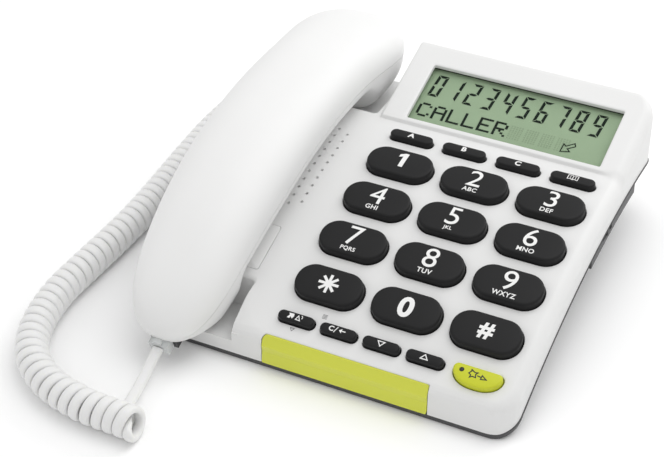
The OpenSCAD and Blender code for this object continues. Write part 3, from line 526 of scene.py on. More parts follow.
# ---------- cord ----------
@dataclass
class CurlyCord:
    """The curly cord: a flat cord wound round a route on the table, with a straight tail at each end."""

    coil_diameter: float = 13.0
    width: float = 4.2
    thickness: float = 2.7
    pitch: float = 4.6
    per_turn: int = 20
    coil_z: float = 6.6
    route: list[tuple[float, float]] = field(
        default_factory=lambda: [
            (-46, -132), (-54, -131.5), (-68, -131), (-83, -127.5), (-95, -120.5), (-103, -111), (-108, -98),
            (-110.5, -81), (-110, -63), (-109, -45), (-108.5, -28), (-109, -10), (-110, 8), (-111, 26),
            (-111.5, 44), (-110.5, 62), (-106.5, 79), (-98, 94), (-85, 104), (-70, 108),
        ]
    )
    handset_tail: list[Point] = field(
        default_factory=lambda: [
            (-58.5, -95, 8.4), (-58.4, -98, 7.1), (-58.1, -102, 5.8), (-57.6, -106, 5), (-56.8, -111, 4.6),
            (-55.8, -116, 4.9), (-54.8, -120.6, 5.6), (-54, -125.2, 6.4),
        ]
    )
    base_tail: list[Point] = field(
        default_factory=lambda: [
            (-70, 108, 6.6), (-65.5, 107.8, 6), (-60, 106.5, 5.6), (-54, 103.5, 5.8), (-49.8, 98.5, 6.6),
            (-47.6, 93, 7.6), (-47, 88, 8.3), (-47, 82.6, 8.5),
        ]
    )

    def sample(self, points: Sequence[Sequence[float]], step: float) -> list[Vector]:
        """Even points along a smooth curve through the given ones.

        Args:
            points: Route points, flat or in space.
            step: Spacing of the result.

        Returns:
            The points, the first and last among them.
        """
        knots = [Vector((*p, self.coil_z)) if len(p) == 2 else Vector(p) for p in points]
        dense: list[Vector] = []
        for i in range(len(knots) - 1):
            a, b = knots[max(i - 1, 0)], knots[i]
            c, d = knots[i + 1], knots[min(i + 2, len(knots) - 1)]
            for k in range(24):
                t = k / 24
                dense.append(
                    0.5 * (2 * b + (c - a) * t + (2 * a - 5 * b + 4 * c - d) * t**2
                           + (3 * b - a - 3 * c + d) * t**3)
                )
        dense.append(knots[-1])
        total = sum((q - p).length for p, q in zip(dense, dense[1:]))
        count = max(2, round(total / step))
        result, walked, target = [dense[0]], 0.0, total / count
        for p, q in zip(dense, dense[1:]):
            size = (q - p).length
            while walked + size >= target - 1e-9 and len(result) < count:
                result.append(p.lerp(q, (target - walked) / size))
                target += total / count
            walked += size
        result.append(dense[-1])
        return result

    def centreline(self) -> tuple[list[Vector], list[Vector]]:
        """Points of the cord's centreline and the outward direction of its flat side at each.

        Returns:
            The points from the handset plug to the base plug, and the directions.
        """
        radius = (self.coil_diameter - self.thickness) / 2
        spine = self.sample(self.route, self.pitch / self.per_turn)
        points, sides = [], []
        for i, place in enumerate(spine):
            ahead = (spine[min(i + 1, len(spine) - 1)] - spine[max(i - 1, 0)]).normalized()
            across = Vector((0, 0, 1)).cross(ahead).normalized()
            # The coil starts where the tail comes in, at its side towards the base
            angle = math.radians(-20) - 2 * math.pi * i / self.per_turn
            out = across * math.cos(angle) + Vector((0, 0, 1)) * math.sin(angle)
            points.append(place + out * radius)
            sides.append(out)
        head = self.join(self.sample(self.handset_tail, 1.0)[:-4], points[0], points[1] - points[0])
        foot = self.join(
            list(reversed(self.sample(self.base_tail, 1.0)[5:])), points[-1], points[-2] - points[-1]
        )
        foot.reverse()
        up = Vector((0, 0, 1))
        count = len(head)
        head_sides = [up.lerp(sides[0], ramp(i, count - 12, count)).normalized() for i in range(count)]
        foot_sides = [sides[-1].lerp(up, ramp(i, 0, 12)).normalized() for i in range(len(foot))]
        return head + points + foot, head_sides + sides + foot_sides

    def join(self, tail: list[Vector], end: Vector, onward: Vector) -> list[Vector]:
        """Continues a tail on a smooth curve into the coil.

        Args:
            tail: The tail's points, which end short of the coil.
            end: The coil's first point.
            onward: The coil's direction there.

        Returns:
            The tail with the curve added, without the coil's own point.
        """
        start = tail[-1]
        gap = (end - start).length
        lead = (tail[-1] - tail[-2]).normalized() * gap
        follow = onward.normalized() * gap * 0.8
        steps = max(4, round(gap / 1.0))
        bridge = []
        for i in range(1, steps):
            t = i / steps
            bridge.append(
                start * (2 * t**3 - 3 * t**2 + 1)
                + lead * (t**3 - 2 * t**2 + t)
                + end * (3 * t**2 - 2 * t**3)
                + follow * (t**3 - t**2)
            )
        return tail + bridge

    def build(self) -> None:
        points, sides = self.centreline()
        rings = []
        for i, place in enumerate(points):
            ahead = (points[min(i + 1, len(points) - 1)] - points[max(i - 1, 0)]).normalized()
            out = (sides[i] - ahead * sides[i].dot(ahead)).normalized()
            along = out.cross(ahead)
            ring = []
            for k in range(12):
                a = 2 * math.pi * (k + 0.5) / 12
                u = math.copysign(abs(math.cos(a)) ** 0.7, math.cos(a)) * self.width / 2
                v = math.copysign(abs(math.sin(a)) ** 0.7, math.sin(a)) * self.thickness / 2
                ring.append(tuple(place + along * u + out * v))
            rings.append(ring)
        cord = MAKER.piece(loft(rings), "curly_cord_wound", CORD, "base",
                           ("handset_tail", "curly_cord", "base_tail"), angle=60)
        cord.parent = None
        del cord["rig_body"]
        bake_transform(cord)


# ---------- handset ----------
@dataclass
class Handset:
    """The handset: two moulded shells that meet on a curved seam."""

    x: float = -58.5
    seam_top: tuple[float, float] = (20.0, 52.3)
    bend: tuple[float, float] = (180.0, 280.0)
    length: tuple[float, float] = (123.0, 75.7)
    half_width: Point = (20.5, 22.0, 25.0)
    crown: float = 15.5
    depth: float = 7.0
    wall: float = 2.0
    stations: int = 110
    across: int = 26

    def seam(self, a: float) -> tuple[float, float, float]:
        """Place (y, z) and slope of the seam at length a along the bend."""
        r = self.bend[0] if a < 0 else self.bend[1]
        f = a / r
        return (self.seam_top[0] + r * math.sin(f), self.seam_top[1] - r * (1 - math.cos(f)), f)

    def end(self, a: float, power: float) -> float:
        """Rounding of the ends: 1 over the middle and 0 at each tip."""
        t = -a / self.length[0] if a < 0 else a / self.length[1]
        return max(1 - min(t, 1.0) ** (power * (2.2 if a < 0 else 1.5)), 0.0) ** (1 / 2.3)

    def width_at(self, a: float) -> float:
        """Half width of the shells at a."""
        mouth, grip, ear = self.half_width
        shape = grip + (ear - grip) * ramp(a, 15, 60) + (mouth - grip) * ramp(-a, 40, 100)
        return self.end(a, 3.2) * shape

    def crown_at(self, a: float) -> float:
        """Height of the upper shell above the seam at a."""
        return self.end(a, 2.8) * self.crown

    def depth_at(self, a: float) -> float:
        """Depth of the lower shell below the seam at a."""
        _, z, f = self.seam(a)
        ear = ramp(a, 22, 34) * max(0.0, (z - 31.0) / math.cos(f) - self.depth)
        mouth = ramp(-a, 86, 100) * max(0.0, (z - 8.6) / math.cos(f) - self.depth)
        fullness = 3.0 if a > 0 else 11.0
        return self.end(a, fullness) * (self.depth + min(ear, 16.0) + min(mouth, 9.0))

    def station(self, i: int) -> float:
        """Length along the bend of ring i, closer together towards the tips."""
        u = 2 * i / self.stations - 1
        t = math.copysign(1 - (1 - abs(u)) ** 1.9, u) * 0.99985
        return t * (self.length[0] if t < 0 else self.length[1])

    def ring(self, a: float, inset: float, top: bool) -> list[Point]:
        """Points of one shell's skin from the right-hand seam edge to the left-hand one."""
        y, z, f = self.seam(a)
        w = max(self.width_at(a) - inset, 0.2)
        h = max((self.crown_at(a) if top else self.depth_at(a)) - inset, 0.15)
        power = 2 / 2.35 if top else 2 / 3.4
        side = 1 if top else -1
        gap = 0.12 * side
        points = []
        for k in range(self.across + 1):
            q = math.pi * k / self.across
            v = side * h * max(math.sin(q), 0.0) ** power + gap
            c = math.cos(q)
            u = math.copysign(abs(c) ** power, c) * w
            points.append((self.x + u, y + v * math.sin(f), z + v * math.cos(f)))
        return points

    def shell(self, top: bool) -> bmesh.types.BMesh:
        """One shell with its wall thickness, closed along the seam."""
        rings = []
        for i in range(self.stations + 1):
            a = self.station(i)
            outer = self.ring(a, 0.0, top)
            inner = self.ring(a, min(self.wall, 0.45 * self.width_at(a) + 0.05), top)
            rings.append(outer + list(reversed(inner)))
        return loft(rings)

    def build(self) -> None:
        """Makes both shells."""
        MAKER.piece(self.shell(True), "handset_upper", HANDSET_WHITE, "handset",
                    ("handset_upper_shell",), angle=50)
        MAKER.piece(self.shell(False), "handset_lower", HANDSET_WHITE, "handset",
                    ("handset_lower_shell",), angle=50)


class Blend(Enum):
    """How one closed mesh is combined with another."""

    CUT = "DIFFERENCE"
    JOIN = "UNION"
    COMMON = "INTERSECT"


def combine(solid: bmesh.types.BMesh, tool: bmesh.types.BMesh, how: Blend = Blend.CUT) -> bmesh.types.BMesh:
    """Cuts one closed mesh with another, joins them, or keeps what they share.

    Args:
        solid: The mesh that is kept; it is freed.
        tool: The mesh that cuts or joins it; it is freed.
        how: What is done with them.

    Returns:
        The new mesh.
    """
    objects = []
    for bm in (solid, tool):
        bmesh.ops.recalc_face_normals(bm, faces=bm.faces)
        mesh = bpy.data.meshes.new("scratch")
        bm.to_mesh(mesh)
        bm.free()
        objects.append(bpy.data.objects.new("scratch", mesh))
        bpy.context.scene.collection.objects.link(objects[-1])
    cut = objects[0].modifiers.new("cut", "BOOLEAN")
    cut.object = objects[1]
    cut.operation = how.value
    cut.solver = "MANIFOLD"
    result = bmesh.new()
    result.from_object(objects[0], bpy.context.evaluated_depsgraph_get())
    for obj in objects:
        mesh = obj.data
        bpy.data.objects.remove(obj)
        bpy.data.meshes.remove(mesh)
    return result


def gather(meshes: Sequence[bmesh.types.BMesh]) -> bmesh.types.BMesh:
    """Puts meshes that don't touch into one, and frees them."""
    whole = bmesh.new()
    for bm in meshes:
        part = bpy.data.meshes.new("scratch")
        bm.to_mesh(part)
        bm.free()
        whole.from_mesh(part)
        bpy.data.meshes.remove(part)
    return whole


def raised(outline: Outline, levels: Sequence[tuple[float, float]], frame_at: Matrix | None = None,
           center: tuple[float, float] = (0.0, 0.0)) -> bmesh.types.BMesh:
    """Closed solid whose outline changes with height.

    Args:
        outline: The outline at growth 0, anticlockwise.
        levels: Growth of the outline and height, from the bottom up.
        frame_at: Where the solid is placed.
        center: Point that the outline shrinks towards.

    Returns:
        The mesh.
    """
    half_x = max(abs(x - center[0]) for x, _ in outline)
    half_y = max(abs(y - center[1]) for _, y in outline)
    rings = []
    for grow, z in levels:
        fx, fy = 1 + grow / half_x, 1 + grow / half_y
        cx, cy = center
        rings.append([(cx + (x - cx) * fx, cy + (y - cy) * fy, z) for x, y in outline])
    bm = loft(rings)
    if frame_at is not None:
        bm.transform(frame_at)
    return bm


def prism(profile: Outline, x0: float, x1: float, bevel: float = 0.0) -> bmesh.types.BMesh:
    """Solid with an outline in the side view, from x0 to x1, with slightly smaller ends."""
    cy = sum(p[0] for p in profile) / len(profile)
    cz = sum(p[1] for p in profile) / len(profile)
    stops = [(x0, 1.0), (x1, 1.0)]
    if bevel > 0:
        shrink = 1 - bevel / 4
        stops = [(x0, shrink), (x0 + bevel * 0.35, 1 - bevel / 14), (x0 + bevel, 1.0),
                 (x1 - bevel, 1.0), (x1 - bevel * 0.35, 1 - bevel / 14), (x1, shrink)]
    return loft([[(x, cy + (y - cy) * f, cz + (z - cz) * f) for y, z in profile] for x, f in stops])


def round_drop(distance: float, radius: float) -> float:
    """Depth of a quarter-round edge at a distance inside it."""
    if distance >= radius:
        return 0.0
    return radius - math.sqrt(max(radius * radius - (radius - distance) ** 2, 0.0))


def half_moon(width: float, length: float, grow: float = 0.0, steps: int = 40) -> Outline:
    """Half-moon outline with round corners: nearly flat at the back and round at the front."""
    corner = 1.9
    w, l = width / 2 + grow, length + grow
    points: Outline = []
    for i in range(steps):
        a = math.pi + math.pi * i / (steps - 1)
        c, s = math.cos(a), math.sin(a)
        points.append((w * math.copysign(abs(c) ** 0.86, c), -corner + s * (l - corner)))
    for i in range(1, 8):
        a = math.pi / 2 * i / 8
        points.append((w - corner + corner * math.cos(a), -corner + (corner + grow) * math.sin(a)))
    for i in range(1, 8):
        a = math.pi / 2 + math.pi / 2 * i / 8
        points.append((-w + corner + corner * math.cos(a), -corner + (corner + grow) * math.sin(a)))
    return points


# ---------- upper housing ----------
@dataclass
class UpperHousing:
    """The white upper housing: an arched shell with a raised display and a cradle for the handset."""

    side_rim: float = 5.0
    front_rim: float = 3.0
    rim_steps: int = 10
    step_width: float = 0.5
    display_rim: float = 1.2
    gap: float = 0.35
    edge_round: float = 0.35
    bottom: float = 3.0
    bosses: tuple[tuple[float, float], ...] = ((-30.0, -56.0), (-30.0, 32.0), (40.0, 70.0), (-8.0, 70.0))
    roll_start: tuple[Point, Point] = ((-40.5, -61.5, 0.0), (-23.8, -78.7, 0.0))

    def edge_distance(self, x: float, y: float) -> float:
        """Distance inside the plan outline."""
        qx = abs(x) - (LAYOUT.width / 2 - LAYOUT.corner)
        qy = abs(y) - (LAYOUT.depth / 2 - LAYOUT.corner)
        return LAYOUT.corner - math.hypot(max(qx, 0.0), max(qy, 0.0)) - min(max(qx, qy), 0.0)

    def roll_off(self, x: float, y: float) -> float:
        """Extra drop of the face where it rolls down into the mouth well."""
        a, b = (Vector(p).xy for p in self.roll_start)
        along = (b - a).normalized()
        inside = Vector((-along.y, along.x)).dot(Vector((x, y)) - a)
        d = max(-inside, 0.0)
        bow = Vector((x, y)) - (a + b) / 2
        d = max(d + 0.012 * (along.dot(bow) ** 2) - 1.6, 0.0) if d > 0 else 0.0
        over_well = max(LAYOUT.arc_height(y) - LAYOUT.mouth_well[2] - 0.6, 0.0)
        under_handset = 1.4 + 30.0 * ramp(x, -44, -36)
        return min(0.1 * d + 0.01 * d * d, over_well, under_handset)

    def height(self, x: float, y: float, inset: float = 0.0) -> float:
        """Height of the outside, or of the inside at the given inset.

        Args:
            x: Place across the base.
            y: Place along the base.
            inset: Wall thickness, or 0 for the outside.

        Returns:
            The height above the table.
        """
        z = LAYOUT.arc_height(y) - (self.roll_off(x, y) if inset == 0 else 0.3)
        side = x - LAYOUT.display_left - inset
        front = LAYOUT.display_front + inset
        if side >= 0:
            plane = LAYOUT.window_front_z + (y - LAYOUT.display_y) * math.tan(LAYOUT.display_tilt)
            spread = self.step_width + 2.5 * ramp(x, 64, 71)
            share = ramp(y, front - spread, front + spread)
            z = max(z, z + (plane - round_drop(side, self.display_rim) - z) * share)
        if inset == 0:
            to_side = LAYOUT.width / 2 - abs(x)
            to_end = LAYOUT.depth / 2 - abs(y)
            radius = self.front_rim + (self.side_rim - self.front_rim) * ramp(to_end - to_side, -6, 6)
            z -= round_drop(self.edge_distance(x, y), radius)
        return z - inset

    def seam(self, y: float) -> float:
        """Height of the seam."""
        return max(LAYOUT.arc_height(y, LAYOUT.seam_radius), LAYOUT.front_seam)

    def lines(self) -> tuple[list[float], list[float]]:
        """Places across and along the base where the plan is divided."""
        left, front = LAYOUT.display_left, LAYOUT.display_front
        across = [-74 + 6 * i for i in range(1, 25)]
        across += [left - 0.06, left, left + 0.04, left + 0.15, left + 0.35, left + 0.65, left + 1.2]
        across += [-42 + 1.5 * i for i in range(14)] + [64 + 1.5 * i for i in range(6)]
        along = [-79 + 3 * i for i in range(1, 53)]
        along += [front + 0.25 * i for i in range(-14, 15)] + [-78 + 1.5 * i for i in range(12)]
        return across, along

    def solid(self, inset: float) -> bmesh.types.BMesh:
        """Solid under the outside, or under the inside at the given inset."""
        width, depth = LAYOUT.width - 2 * inset, LAYOUT.depth - 2 * inset
        corner = LAYOUT.corner - inset
        rings = []
        for k in range(self.rim_steps + 1):
            d = self.side_rim * (1 - math.cos(math.pi / 2 * k / self.rim_steps))
            outline = rounded_rectangle(width - 2 * d, depth - 2 * d, corner - d, 14)
            rings.append([(x, y, 0.0) for x, y in outline])
        bm = loft(rings, caps=False)
        bm.faces.new(bm.verts[:][-len(rings[0]):])
        across, along = self.lines()
        for axis, places in ((0, across), (1, along)):
            normal = (1, 0, 0) if axis == 0 else (0, 1, 0)
            for place in sorted(places):
                point = (place, 0, 0) if axis == 0 else (0, place, 0)
                bmesh.ops.bisect_plane(bm, geom=bm.verts[:] + bm.edges[:] + bm.faces[:], dist=1e-4,
                                       plane_co=point, plane_no=normal)
        rim = [edge for edge in bm.edges if edge.is_boundary]
        copy = bmesh.ops.duplicate(bm, geom=bm.verts[:] + bm.edges[:] + bm.faces[:])["vert_map"]
        lows = {vert: copy[vert] for vert in bm.verts if vert in copy}
        tops = {v for edge in rim for v in edge.verts}
        for edge in rim:
            a, b = edge.verts
            bm.faces.new((a, b, lows[b], lows[a]))
        seed = next(iter(tops))
        stack, top_side = [seed], {seed}
        bottoms = {lows[v] for v in tops}
        while stack:
            for edge in stack.pop().link_edges:
                for vert in edge.verts:
                    if vert not in top_side and vert not in bottoms:
                        top_side.add(vert)
                        stack.append(vert)
        for vert in bm.verts:
            x, y = vert.co.x, vert.co.y
            if vert in top_side:
                vert.co.z = self.height(x, y, inset)
            else:
                vert.co.z = self.seam(y) if inset == 0 else self.seam(y) - self.bottom
        return bm

    def key_cutters(self) -> list[bmesh.types.BMesh]:
        """Cutters for the key holes, with softened edges."""
        g, r = self.gap, self.edge_round
        levels = ((0.0, -8.0), (0.0, -r), (0.3 * r, -0.35 * r), (r, 0.05), (r + 0.2, 3.0))
        cutters = []
        for key in KEYPAD.keys():
            width, length, corner = key.size
            outline = rounded_rectangle(width + 2 * g, length + 2 * g, corner + g)
            cutters.append(raised(outline, levels, LAYOUT.face_frame(key.x, key.s)))
        boost = KEYPAD.boost
        cutters.append(raised(half_moon(boost.width, boost.length, g), levels, boost.frame(),
                              (0, -boost.length / 2)))
        return cutters

    def hole_cutters(self) -> list[bmesh.types.BMesh]:
        """Cutters for the speaker holes, the hook plunger and the index recess."""
        cutters = []
        for column in range(3):
            for i in range(10 + column % 2):
                s = 45.6 - (i + (column + 1) % 2 / 2) * 4.6
                circle = rounded_rectangle(1.2, 1.2, 0.59, 5)
                cutters.append(raised(circle, ((0, -8), (0, -0.15), (0.15, 0.1), (0.2, 2)),
                                      LAYOUT.face_frame(-35.9 - 4.6 * column, s)))
        index = rounded_rectangle(30.3, 21.3, 0.9, 4)
        cutters.append(raised(index, ((0, -1.4), (0, -0.2), (0.2, 0.05), (0.3, 2)),
                              LAYOUT.face_frame(IndexCover.x, IndexCover.s)))
        plunger = rounded_rectangle(6.8, 6.8, 3.39, 8)
        cutters.append(raised(plunger, ((0, 20.0), (0, 35.0)), Matrix.Translation((-50, 60, 0))))
        return cutters

    def window_cutter(self) -> bmesh.types.BMesh:
        """Cutter for the display opening."""
        width, length = LAYOUT.window
        outline = rounded_rectangle(width, length, 0.7, 5)
        place = LAYOUT.display_frame() @ Matrix.Translation((0, length / 2, 0))
        return raised(outline, ((0, -9.0), (0, -0.5), (0.15, -0.15), (0.5, 0.03), (0.6, 3)), place)

    def lens_pocket(self) -> bmesh.types.BMesh:
        """Cutter for the seat of the window from below."""
        width, length = LAYOUT.window
        outline = rounded_rectangle(width + 3.6, length + 3.6, 0.7, 5)
        place = LAYOUT.display_frame() @ Matrix.Translation((0, length / 2, 0))
        return raised(outline, ((0, -9.5), (0, -1.6)), place)

    def well(self, x1: float, y0: float, y1: float, floor: float, corner: float = 2.0) -> bmesh.types.BMesh:
        """Cutter for a well that is open to the left, with a softened edge along the face.

        Args:
            x1: Its right side.
            y0: Its front side.
            y1: Its rear side.
            floor: Height of its floor.
            corner: Radius of its corners in plan.

        Returns:
            The mesh.
        """
        edge = 1.1
        x0 = -100.0
        outline = [(x + (x0 + x1) / 2, y + (y0 + y1) / 2)
                   for x, y in rounded_rectangle(x1 - x0, y1 - y0, corner, 6)]
        rings = [[(x, y, floor) for x, y in outline]]
        center = ((x0 + x1) / 2, (y0 + y1) / 2)
        for k in range(6):
            a = math.pi / 2 * k / 5
            out, down = edge * (1 - math.cos(a)), edge * (1 - math.sin(a))
            rings.append([self.flare(x, y, center, out, down) for x, y in outline])
        rings.append([self.flare(x, y, center, edge + 0.2, -14.0) for x, y in outline])
        return loft(rings)

    def flare(self, x: float, y: float, center: tuple[float, float], out: float, down: float) -> Point:
        """Point pushed out of an outline and set below the face there."""
        px = x + math.copysign(out, x - center[0])
        py = y + math.copysign(out, y - center[1])
        qx = min(max(px, -LAYOUT.width / 2 + 6), LAYOUT.width / 2)
        qy = min(max(py, -LAYOUT.depth / 2 + 4), LAYOUT.depth / 2 - 4)
        face = LAYOUT.arc_height(qy) - (self.roll_off(max(qx, x), qy) if y < 0 else 0)
        return (px, py, face - down)

    def trough(self, grow: float) -> bmesh.types.BMesh:
        """Cutter for the finger trough under the handle."""
        rings = []
        soft = ((-100.0, 0.0), (LAYOUT.trough_x - 3.0 + grow, 0.0), (LAYOUT.trough_x - 0.9 + grow, 0.5),
                (LAYOUT.trough_x - 0.2 + grow, 1.6), (LAYOUT.trough_x + grow, 3.2),
                (LAYOUT.trough_x + 0.15 + grow, 5.2), (LAYOUT.trough_x + 1.0 + grow, 6.15),
                (LAYOUT.trough_x + 1.2 + grow, 7.5))
        y0, y1 = LAYOUT.trough_y - grow, LAYOUT.ear_well[1] + 0.5
        steps = 16
        for x, lift in soft:
            ring = []
            for i in range(steps + 1):
                y = y0 + (y1 - y0) * i / steps
                entry = 3.2 * (1 - min((y - y0) / 3.2, 1.0)) ** 2
                z = LAYOUT.arc_height(y) - LAYOUT.trough_depth - grow + max(lift, entry if grow == 0 else 0)
                ring.append((x, y, z))
            for i in range(steps + 1):
                y = y1 + (y0 - y1) * i / steps
                ring.append((x, y, 62.0))
            rings.append(ring)
        return loft(rings)

    def block(self, x1: float, y0: float, y1: float, z0: float) -> bmesh.types.BMesh:
        """Plain block to the left of x1, from z0 up."""
        outline = [(x1, y0), (x1, y1), (-120.0, y1), (-120.0, y0)]
        return loft([[(x, y, z) for x, y in outline] for z in (z0, 90.0)])

    def fittings(self) -> list[bmesh.types.BMesh]:
        """Screw bosses, the rear ones with a rib, each sunk a little into the shell."""
        pieces = []
        for x, y in self.bosses:
            rear = y > LAYOUT.display_front
            top = 36.0 if rear else self.height(x, y, LAYOUT.wall) + 0.8
            outer, bore = rounded_rectangle(8, 8, 3.99, 8), rounded_rectangle(2.9, 2.9, 1.44, 8)
            rings = [[(px + x, py + y, z) for px, py in outline]
                     for outline, z in ((bore, top - 4), (bore, 12.2), (outer, 12.2), (outer, top))]
            boss = loft(rings)
            if rear:
                foot = [(x - 1, y + 3), (x + 1, y + 3), (x + 1, 77.6), (x - 1, 77.6)]
                rib = loft([[(px, py, z) for px, py in foot] for z in (30.0, 35.9)])
                boss = combine(boss, rib, Blend.JOIN)
            pieces.append(boss)
        return pieces

    def shelf(self, x1: float, y0: float, y1: float, floor: float) -> bmesh.types.BMesh:
        """Floor of a well with the walls that stand round it, down to the underside of the floor.

        Args:
            x1: Right side of the well.
            y0: Its front side.
            y1: Its rear side.
            floor: Height of its floor.

        Returns:
            The mesh.
        """
        wall = LAYOUT.wall
        plan = rounded_rectangle(LAYOUT.width, LAYOUT.depth, LAYOUT.corner, 14)
        slab = loft([[(x, y, z) for x, y in plan] for z in (floor - wall, floor + 4)])
        front = y0 - wall if y0 > 0 else y0
        rear = y1 + wall if y0 < 0 else y1
        keep = [(x1 + wall, front), (x1 + wall, rear), (-120.0, rear), (-120.0, front)]
        slab = combine(slab, loft([[(x, y, z) for x, y in keep] for z in (-20.0, 90.0)]), Blend.COMMON)
        return combine(slab, self.block(x1, y0, y1, floor))

    def build(self) -> None:
        """Makes the housing."""
        wall = LAYOUT.wall
        ear_x, ear_y, ear_z = LAYOUT.ear_well
        mouth_x, mouth_y, mouth_z = LAYOUT.mouth_well
        shell = self.solid(0.0)
        shell = combine(shell, self.well(ear_x, ear_y, 100.0, ear_z))
        shell = combine(shell, self.well(mouth_x, -100.0, mouth_y, mouth_z))
        shell = combine(shell, self.trough(0.0))
        inner = self.solid(wall)
        for tool in (self.block(ear_x + wall, ear_y - wall, 120, ear_z - wall),
                     self.block(mouth_x + wall, -120, mouth_y + wall, mouth_z - wall), self.trough(wall)):
            inner = combine(inner, tool)
        shell = combine(shell, inner)
        shell = combine(shell, gather(self.key_cutters() + self.hole_cutters() + [self.window_cutter()]))
        shell = combine(shell, self.lens_pocket())
        shell = combine(shell, RingerBar().cutter())
        shell = combine(shell, gather(self.fittings()), Blend.JOIN)
        shell = combine(shell, self.shelf(ear_x, ear_y, 120.0, ear_z), Blend.JOIN)
        shell = combine(shell, self.shelf(mouth_x, -120.0, mouth_y, mouth_z), Blend.JOIN)
        obj = MAKER.piece(shell, "upper_shell", HOUSING, "base", ("upper_housing",),
                          angle=32)
        weight = obj.modifiers.new("even_normals", "WEIGHTED_NORMAL")
        weight.keep_sharp = True
        weight.weight = 80


# ---------- lettering and icons ----------
def lettering(text: str, height: float, bold: float = 0.0, spacing: float = 1.0) -> bmesh.types.BMesh:
    """Thin raised lettering, centred, with its foot on the local X axis.

    Args:
        text: The characters.
        height: Their height.
        bold: Growth of the strokes, as a share of the height.
        spacing: Spacing of the characters, as a share of the normal one.

    Returns:
        The mesh, 0.05 mm thick.
    """
    curve = bpy.data.curves.new("lettering", "FONT")
    curve.body = text
    curve.offset = bold
    curve.extrude = 0.01
    curve.space_character = spacing
    curve.resolution_u = 5
    obj = bpy.data.objects.new("lettering", curve)
    bpy.context.scene.collection.objects.link(obj)
    mesh = bpy.data.meshes.new_from_object(obj.evaluated_get(bpy.context.evaluated_depsgraph_get()))
    bm = bmesh.new()
    bm.from_mesh(mesh)
    bpy.data.objects.remove(obj)
    bpy.data.curves.remove(curve)
    bpy.data.meshes.remove(mesh)
    bmesh.ops.remove_doubles(bm, verts=bm.verts, dist=1e-5)
    xs, ys = [v.co.x for v in bm.verts], [v.co.y for v in bm.verts]
    scale = height / (max(ys) - min(ys))
    middle, foot = (min(xs) + max(xs)) / 2, min(ys)
    for vert in bm.verts:
        top = 0.05 if vert.co.z > 0 else 0.0
        vert.co = Vector(((vert.co.x - middle) * scale, (vert.co.y - foot) * scale, top))
    return bm


def stroke(points: Outline, width: float, closed: bool = False, thickness: float = 0.05) -> bmesh.types.BMesh:
    """Thin raised line with mitred corners."""
    n = len(points)
    left, right = [], []
    for i, point in enumerate(points):
        p = Vector(point)
        before = Vector(points[i - 1]) if closed or i > 0 else p - (Vector(points[1]) - p)
        after = Vector(points[(i + 1) % n]) if closed or i < n - 1 else p + (p - Vector(points[i - 1]))
        d0, d1 = (p - before).normalized(), (after - p).normalized()
        bisector = (d0 + d1).normalized()
        side = Vector((-bisector.y, bisector.x))
        reach = width / 2 / max(side.dot(Vector((-d1.y, d1.x))), 0.35)
        left.append(p + side * reach)
        right.append(p - side * reach)
    rings = [[(a.x, a.y, 0.0), (b.x, b.y, 0.0), (b.x, b.y, thickness), (a.x, a.y, thickness)]
             for a, b in zip(left, right)]
    if closed:
        rings.append(rings[0])
    bm = loft(rings, caps=not closed)
    bmesh.ops.remove_doubles(bm, verts=bm.verts, dist=1e-5)
    return bm


def plate(outline: Outline, thickness: float = 0.05) -> bmesh.types.BMesh:
    """Thin raised patch."""
    return loft([[(x, y, z) for x, y in outline] for z in (0.0, thickness)])


# ---------- keys ----------
@dataclass(frozen=True)
class Key:
    """One key on the arched face."""

    node: str
    x: float
    s: float
    size: Point
    height: float
    legend: str = ""
    letters: str = ""
    dome: float = 0.28

    def levels(self) -> list[tuple[float, float]]:
        """Growth of the outline and height, from the flange up over the domed top."""
        h = self.height
        small = self.size[1] < 8
        rim = 0.75 if small else 1.15
        levels = [(0.8, -3.7), (0.8, -2.7), (0.0, -2.7), (0.0, h - rim)]
        for k in range(1, 6):
            a = math.pi / 2 * k / 5
            levels.append((-rim * (1 - math.cos(a)), h - rim + rim * 0.86 * math.sin(a)))
        half = self.size[1] / 2
        for k in range(1, 8):
            inset = rim + (half - rim - 0.3) * k / 7
            levels.append((-inset, h - 0.14 * rim + self.dome_lift(inset - rim)))
        return levels

    def dome_lift(self, inside: float) -> float:
        """Rise of the domed top at a distance inside its rim."""
        reach = self.size[1] / 2 - 1.0
        t = 1 - min(inside / reach, 1.0)
        return self.dome * (0.35 if self.size[1] < 8 else 1.0) * (1 - t * t)

    def cap(self) -> bmesh.types.BMesh:
        """The key: stem, flange and cap in one skin."""
        width, length, corner = self.size
        rings = []
        stem = min(6.0, length - 0.8)
        stem_end = 12 - 0.8 - self.s * self.s / (2 * LAYOUT.face_radius) - 1.9
        round_stem = rounded_rectangle(stem, stem, stem / 2 - 0.02)
        for z in (-stem_end, -3.7):
            rings.append([(x, y, z) for x, y in round_stem])
        for grow, z in self.levels():
            rings.append([(x, y, z) for x, y in rounded_rectangle(
                width + 2 * grow, length + 2 * grow, max(corner + grow, 0.05))])
        return loft(rings)

    def surface(self, x: float, y: float) -> float:
        """Height of the cap's top over a point of the key's plan."""
        width, length, corner = self.size
        qx = abs(x) - (width / 2 - corner)
        qy = abs(y) - (length / 2 - corner)
        inside = corner - math.hypot(max(qx, 0.0), max(qy, 0.0)) - min(max(qx, qy), 0.0)
        rim = 0.75 if length < 8 else 1.15
        return self.height - 0.14 * rim + self.dome_lift(max(inside - rim, 0.0))

    def printed(self, meshes: Sequence[bmesh.types.BMesh]) -> bmesh.types.BMesh:
        """Lays flat lettering on the cap, a hair above its surface."""
        whole = gather(meshes)
        bmesh.ops.triangulate(whole, faces=whole.faces)
        bmesh.ops.subdivide_edges(whole, edges=[e for e in whole.edges if e.calc_length() > 1.2], cuts=2)
        for vert in whole.verts:
            vert.co.z += self.surface(vert.co.x, vert.co.y) + 0.012
        return whole


